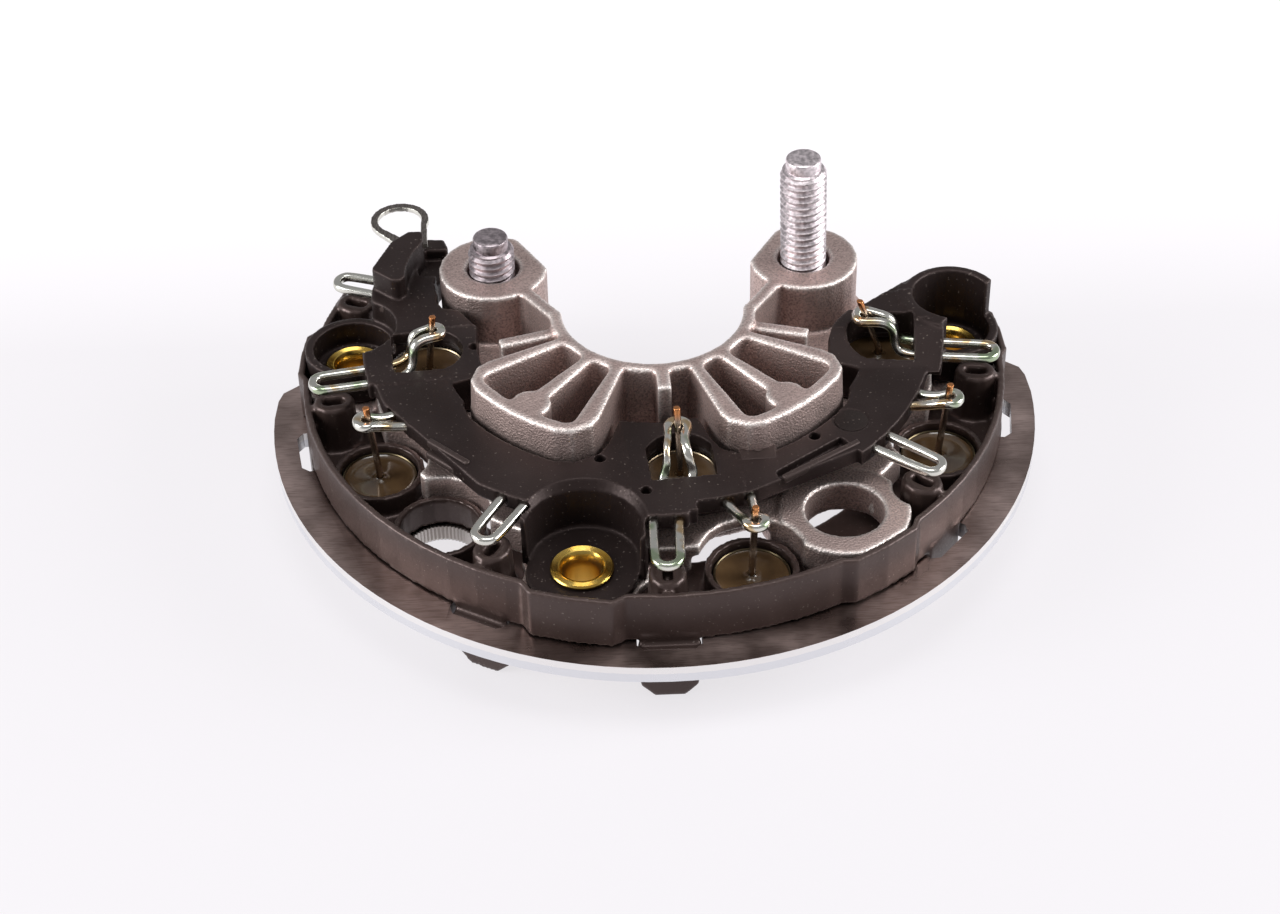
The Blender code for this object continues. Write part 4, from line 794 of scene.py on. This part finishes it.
def thread(place, radius, bottom, top):
    """Rolled thread: a zigzag is screwed up the stud, cut off level, chamfered and given its tip."""
    measures = sizes()
    pitch, tip, neck = measures.thread_pitch, measures.tip_radius, top - measures.tip_length
    root = radius - measures.thread_depth
    start = bottom - 2 * pitch
    points = [(root, start), (root, start + 0.12 * pitch), (radius, start + 0.44 * pitch),
              (radius, start + 0.58 * pitch), (root, start + 0.90 * pitch), (root, start + pitch)]
    piece = profile_line(points, False)
    turns = math.ceil((top - bottom) / pitch) + 4
    apply_modifier(piece, "SCREW", axis="Z", screw_offset=pitch, iterations=turns, steps=40,
                   render_steps=40, use_merge_vertices=True, merge_threshold=0.005 * MM)
    chamfer = ((radius, neck - 0.8 * MM), (radius - 0.35 * MM, neck - 0.25 * MM), (tip, neck))
    edit_all(piece)
    bpy.ops.mesh.remove_doubles(threshold=0.005 * MM)
    for level, side, ends in ((bottom, -1.0, True), (neck, 1.0, True), (chamfer[0][1], 1.0, False),
                              (chamfer[1][1], 1.0, False)):
        bpy.ops.mesh.bisect(plane_co=(0.0, 0.0, level), plane_no=(0.0, 0.0, side), use_fill=ends,
                            clear_outer=ends, threshold=0.1 * WELD)
        bpy.ops.mesh.select_all(action="SELECT")
    bpy.ops.mesh.normals_make_consistent(inside=False)
    leave_edit()
    for (wide, low), (narrow, high) in zip(chamfer, chamfer[1:]):
        for vertex in piece.data.vertices:
            reach = math.hypot(vertex.co.x, vertex.co.y)
            limit = wide + (narrow - wide) * (vertex.co.z - low) / (high - low)
            if low < vertex.co.z < high + WELD and reach > limit:
                vertex.co.x, vertex.co.y = vertex.co.x * limit / reach, vertex.co.y * limit / reach
    edit_part(piece, "FACE", lambda polygon: polygon.center.z > neck - WELD)
    level = neck
    for shrink, height in ((0.0, top - 0.45 * MM), (0.12 * MM, top - 0.2 * MM), (0.28 * MM, top - 0.04 * MM),
                           (0.5 * MM, top)):
        bpy.ops.mesh.extrude_region()
        bpy.ops.transform.translate(value=(0.0, 0.0, height - level))
        share = (tip - shrink) / tip
        bpy.ops.transform.resize(value=(share, share, 1.0), center_override=(0.0, 0.0, height))
        level, tip = height, tip - shrink
    leave_edit()
    piece.location = (place[0], place[1], 0.0)
    settle(piece)
    return piece


class RECTIFIER_OT_studs(RectifierOperator, bpy.types.Operator):
    """Two terminal studs with rolled threads"""
    bl_idname = "rectifier.studs"
    bl_label = "Terminal studs"

    def execute(self, context):
        # The short stud's copy of the zinc plate is painted darker, as painted shade
        for size, shade, room in (("long", colours().zinc, LEAN_ROOM), ("short", colours().zinc_painted_shade, 0.0)):
            node = f"{size}_terminal_stud"
            low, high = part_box(node)
            place = centre_of(node)
            piece = thread(place, THREAD_RADIUS, low.z + STUD_HEAD, high.z - room)
            if size == "long":
                edit_all(piece)
                bpy.ops.transform.rotate(value=sizes().stud_lean, orient_axis="Y",
                                         center_override=(place.x, place.y, low.z + LEAN_START))
                leave_edit()
            smooth(piece, 30.0)
            dress(piece, f"{size}_threaded_stud", zinc_plate(size, shade), [node])
        return {"FINISHED"}


CUP_OUTER, CUP_INNER, CUP_FLOOR = 6.15 * MM, 5.75 * MM, 2.0 * MM
CUP_EDGE = 0.12 * MM
LEAD_FILLET = 0.62 * MM
POSITIVE_BORE_RADIUS = 6.42 * MM


class RECTIFIER_OT_diodes(RectifierOperator, bpy.types.Operator):
    """Diode cups, their poured resin and their leads"""
    bl_idname = "rectifier.diodes"
    bl_label = "Press-fit diodes"

    def execute(self, context):
        resin = potting_resin()
        # The positive cups get a copy of the plated steel painted paler, as painted light where they sit in
        # shade
        for kind, shade in (("negative", colours().cup), ("positive", colours().cup_painted_light)):
            rim = plated_steel(kind, shade)
            copper = diode_lead(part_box(f"{kind}_diode_front_lead")[1].z)
            for side in SIDES:
                stem = f"{kind}_diode_{side}"
                self.cup(stem, rim)
                self.resin(stem, resin)
                lead = softened(stem + "_lead", sizes().lead_grid, 3)
                smooth(lead, 60.0)
                dress(lead, stem + "_wire", copper, [stem + "_lead"])
                if kind == "positive":
                    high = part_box(stem + "_cup")[1].z
                    ring = knurl(centre_of(stem + "_cup"), POSITIVE_BORE_RADIUS, high - MM, high + 0.2 * MM)
                    dress(ring, stem + "_knurl", knurled_aluminium())
        return {"FINISHED"}

    def cup(self, stem, finish):
        low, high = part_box(stem + "_cup")
        points = [(CUP_OUTER, low.z), (CUP_OUTER, high.z - CUP_EDGE), (CUP_OUTER - CUP_EDGE, high.z),
                  (CUP_INNER + CUP_EDGE, high.z), (CUP_INNER, high.z - CUP_EDGE),
                  (CUP_INNER, low.z + CUP_FLOOR), (MM, low.z + CUP_FLOOR), (MM, low.z)]
        piece = turned(points, centre_of(stem + "_cup"))
        dress(piece, stem + "_shell", finish, [stem + "_cup"])

    def resin(self, stem, finish):
        """Resin filled to just under the rim, drawn up a little at the rim and round the lead."""
        low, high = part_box(stem + "_potting")
        level = high.z
        points = [(CUP_INNER, low.z), (CUP_INNER, level + 0.30 * MM),
                  (CUP_INNER - 0.5 * MM, level + 0.08 * MM), (CUP_INNER - 1.4 * MM, level),
                  (1.8 * MM, level), (1.0 * MM, level + 0.12 * MM),
                  (LEAD_FILLET, level + 0.45 * MM), (LEAD_FILLET, low.z)]
        piece = turned(points, centre_of(stem + "_potting"))
        dress(piece, stem + "_resin", finish, [stem + "_potting"])


# Where the legs of each welded loop are drawn together, or apart where the move is negative: the
# loop, its angle, a radius, the lowest height and how far each leg moves
KNEES = (("positive_loop_front", 4.2, 34.4 * MM, COVER_TOP + 2.4 * MM, 0.9 * MM),
         ("positive_loop_front", 4.2, 37.4 * MM, COVER_TOP - 2.0 * MM, -0.35 * MM),
         ("positive_loop_left", -83.5, 39.6 * MM, COVER_TOP + 1.5 * MM, 0.8 * MM),
         ("positive_loop_right", 84.0, 39.4 * MM, COVER_TOP + 1.5 * MM, 0.8 * MM),
         ("negative_loop_left", -64.5, 49.4 * MM, 0.0, 0.7 * MM),
         ("negative_loop_front", 15.3, 49.4 * MM, 0.0, 0.7 * MM),
         ("negative_loop_right", 65.2, 49.4 * MM, 0.0, 0.7 * MM))
# How far from its radius a knee takes hold, and how far along the leg the move fades out
KNEE_GRIP, KNEE_REACH = 0.7 * MM, 4.5 * MM


class RECTIFIER_OT_wires(RectifierOperator, bpy.types.Operator):
    """Bare wire terminals and the loops welded round the diode leads"""
    bl_idname = "rectifier.wires"
    bl_label = "Bare wires"

    def execute(self, context):
        plain = tinned_copper("tinned_copper_wire", False)
        tinted = tinned_copper("heat_tinted_copper_wire", True)
        loops = [f"{kind}_loop_{side}" for kind in ("negative", "positive") for side in SIDES]
        terminals = [f"stator_terminal_{number}" for number in (1, 3, 5)]
        for node in loops + terminals:
            piece = rounded(node)
            for loop, *knee in KNEES:
                if loop == node:
                    self.pinch(piece, *knee)
            smooth(piece, 60.0)
            dress(piece, node + "_wire", tinted if node in loops else plain, [node])
        ring = softened("ring_terminal", sizes().ring_grid, 1)
        smooth(ring, 50.0)
        dress(ring, "stamped_ring_terminal", brushed_tin(), ["ring_terminal"])
        return {"FINISHED"}

    def pinch(self, piece, angle, radius, low, shift):
        """Draws the two legs of a loop together at one radius, above one height."""
        turn = math.radians(angle)
        out, across = Vector((math.sin(turn), -math.cos(turn))), Vector((math.cos(turn), math.sin(turn)))
        for side in (-1, 1):
            def in_leg(vertex):
                place = Vector((vertex.co.x, vertex.co.y - AXIS_Y))
                near = abs(place.dot(out) - radius) < KNEE_GRIP and vertex.co.z > low
                return near and place.dot(across) * side > 0

            edit_part(piece, "VERT", in_leg)
            move = -side * shift * across
            bpy.ops.transform.translate(value=(*move, 0.0), use_proportional_edit=True,
                                        use_proportional_connected=True, proportional_size=KNEE_REACH,
                                        proportional_edit_falloff="SMOOTH")
            leave_edit()


RIVET_BORE, RIVET_TUBE, RIVET_RIM = 2.8 * MM, 3.3 * MM, 5.0 * MM


class RECTIFIER_OT_rivets(RectifierOperator, bpy.types.Operator):
    """Hollow rivets with rolled flanges, and the bushes round them"""
    bl_idname = "rectifier.rivets"
    bl_label = "Rivets and bushes"

    def execute(self, context):
        finish = yellow_zinc(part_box("rivet_front")[1].z)
        bush_finish = bpy.data.materials["moulded_nylon_tray"]
        for side in SIDES:
            piece = turned(self.profile(*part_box(f"rivet_{side}")), centre_of(f"rivet_{side}"), 80)
            smooth(piece, 24.0)
            dress(piece, f"hollow_rivet_{side}", finish, [f"rivet_{side}"])
            bush = copied(f"insulating_bush_{side}")
            smooth(bush)
            dress(bush, f"moulded_bush_{side}", bush_finish, [f"insulating_bush_{side}"])
        return {"FINISHED"}

    def profile(self, low, high):
        bottom, top = low.z, high.z
        points = [(RIVET_BORE, bottom), (RIVET_RIM, bottom), (RIVET_RIM, bottom + 0.5 * MM),
                  (RIVET_TUBE, bottom + 0.7 * MM), (RIVET_TUBE, top - 0.8 * MM),
                  (RIVET_RIM - 0.2 * MM, top - 0.72 * MM), (RIVET_RIM, top - 0.55 * MM),
                  (RIVET_RIM, top - 0.3 * MM), (RIVET_RIM - 0.12 * MM, top - 0.16 * MM)]
        # Turning lines on the flange, wider apart than the real 0.1 mm so that they show
        for step in range(5):
            line = RIVET_RIM - (0.26 + 0.22 * step) * MM
            points += [(line, top - 0.06 * MM), (line - 0.11 * MM, top - 0.12 * MM)]
        return points + [(3.72 * MM, top), (3.55 * MM, top - 0.05 * MM), (3.3 * MM, top - 0.4 * MM),
                         (3.05 * MM, top - 1.1 * MM), (2.88 * MM, top - 1.9 * MM),
                         (RIVET_BORE, top - 2.8 * MM)]


# Strength of the light from all round, and the floor's glow in front of the object and behind it
SKY_LIGHT, NEAR_GLOW, FAR_GLOW = 0.36, 0.73, 0.93
# Softboxes as name, place, size and watts, all aimed at the object
SOFTBOXES = (("overhead", (0.0, 0.0, 0.75), (0.40, 0.30), 1.8),
             ("left_box", (-0.58, -0.12, 0.28), (0.36, 0.36), 4.5),
             ("right_box", (0.58, -0.02, 0.28), (0.36, 0.36), 4.3))
# Camera that took the picture, worked out from the part's round and level features
CAMERA_BACK = 352.5 * MM
CAMERA_UP = 280.4 * MM
CAMERA_TILT = 0.6924
CAMERA_YAW = -0.0056
CAMERA_ROLL = -0.0167
CAMERA_SWING = math.radians(-1.8)
FOCAL_LENGTH = 73.68


class RECTIFIER_OT_stage(RectifierOperator, bpy.types.Operator):
    """White floor, soft studio light and the camera"""
    bl_idname = "rectifier.stage"
    bl_label = "Stage"

    def execute(self, context):
        self.floor()
        self.lights()
        self.camera()
        return {"FINISHED"}

    def floor(self):
        bpy.ops.object.select_all(action="DESELECT")
        bpy.ops.mesh.primitive_plane_add(size=6.0, location=(0.0, 0.0, -0.02 * MM))
        floor = bpy.context.object
        floor.name = "studio_floor"
        finish, tree, shader = new_finish("lit_acrylic_table", {
            "Roughness": 0.6, "Base Color": colours().table, "Emission Color": colours().floor})
        place = add_node(tree, PLACE, {}, "Object")
        away = add_node(tree, AXES, {"Vector": place}, "Y")
        glow = add_node(tree, SPAN, {"Value": away, "From Min": 0.05, "From Max": 0.12,
                                     "To Min": NEAR_GLOW, "To Max": FAR_GLOW})
        fill(shader, {"Emission Strength": glow})
        floor.data.materials.append(finish)

    def lights(self):
        world = bpy.data.worlds.new("white_studio")
        world.use_nodes = True
        fill(world.node_tree.nodes["Background"], {"Color": colours().sky, "Strength": SKY_LIGHT})
        bpy.context.scene.world = world
        for name, place, size, power in SOFTBOXES:
            bpy.ops.object.select_all(action="DESELECT")
            bpy.ops.object.light_add(type="AREA", location=place)
            light = bpy.context.object
            light.name = name
            light.data.shape = "RECTANGLE"
            light.data.size, light.data.size_y = size
            light.data.energy = power
            aim = Vector((0.0, 0.0, 0.01)) - Vector(place)
            light.rotation_euler = aim.to_track_quat("-Z", "Y").to_euler()
        bpy.context.scene.view_settings.view_transform = "Standard"

    def camera(self):
        ahead = Vector((0.0, math.cos(CAMERA_TILT), -math.sin(CAMERA_TILT)))
        right = Vector((1.0, 0.0, 0.0))
        up = right.cross(ahead)
        turned_ahead = math.cos(CAMERA_YAW) * ahead + math.sin(CAMERA_YAW) * right
        turned_right = math.cos(CAMERA_YAW) * right - math.sin(CAMERA_YAW) * ahead
        rolled_right = math.cos(CAMERA_ROLL) * turned_right + math.sin(CAMERA_ROLL) * up
        rolled_up = math.cos(CAMERA_ROLL) * up - math.sin(CAMERA_ROLL) * turned_right
        turn = Matrix((rolled_right, rolled_up, -turned_ahead)).transposed()
        swing = Matrix.Rotation(CAMERA_SWING, 3, "Z")
        place = swing @ Vector((0.0, -CAMERA_BACK, CAMERA_UP)) + Vector((0.0, AXIS_Y, PLATE_TOP))
        bpy.ops.object.select_all(action="DESELECT")
        bpy.ops.object.camera_add()
        camera = bpy.context.object
        camera.matrix_world = Matrix.Translation(place) @ (swing @ turn).to_4x4()
        camera.data.lens = FOCAL_LENGTH
        camera.data.sensor_width = 36.0
        bpy.context.scene.camera = camera


class RECTIFIER_PT_panel(bpy.types.Panel):
    """Sidebar panel that lists the pieces, sizes and colours"""
    bl_label = "Alternator rectifier"
    bl_idname = "RECTIFIER_PT_panel"
    bl_space_type = "VIEW_3D"
    bl_region_type = "UI"
    bl_category = "Rectifier"

    def draw(self, context):
        for operator in OPERATORS:
            self.layout.operator(operator.bl_idname)
        for group in (sizes(), colours()):
            box = self.layout.box()
            for name in group.__annotations__:
                box.prop(group, name)


OPERATORS = (RECTIFIER_OT_casting, RECTIFIER_OT_plate, RECTIFIER_OT_tray, RECTIFIER_OT_cover,
             RECTIFIER_OT_studs, RECTIFIER_OT_diodes, RECTIFIER_OT_wires, RECTIFIER_OT_rivets,
             RECTIFIER_OT_stage)
CLASSES = (RectifierSizes, RectifierColours, *OPERATORS, RECTIFIER_PT_panel)


def register():
    for item in CLASSES:
        bpy.utils.register_class(item)
    bpy.types.Scene.rectifier_sizes = PointerProperty(type=RectifierSizes)
    bpy.types.Scene.rectifier_colours = PointerProperty(type=RectifierColours)


def unregister():
    del bpy.types.Scene.rectifier_colours
    del bpy.types.Scene.rectifier_sizes
    for item in reversed(CLASSES):
        bpy.utils.unregister_class(item)


def main():
    register()
    bpy.ops.rectifier.casting()
    bpy.ops.rectifier.plate()
    bpy.ops.rectifier.tray()
    bpy.ops.rectifier.cover()
    bpy.ops.rectifier.studs()
    bpy.ops.rectifier.diodes()
    bpy.ops.rectifier.wires()
    bpy.ops.rectifier.rivets()
    bpy.ops.rectifier.stage()


if __name__ == "__main__":
    main()
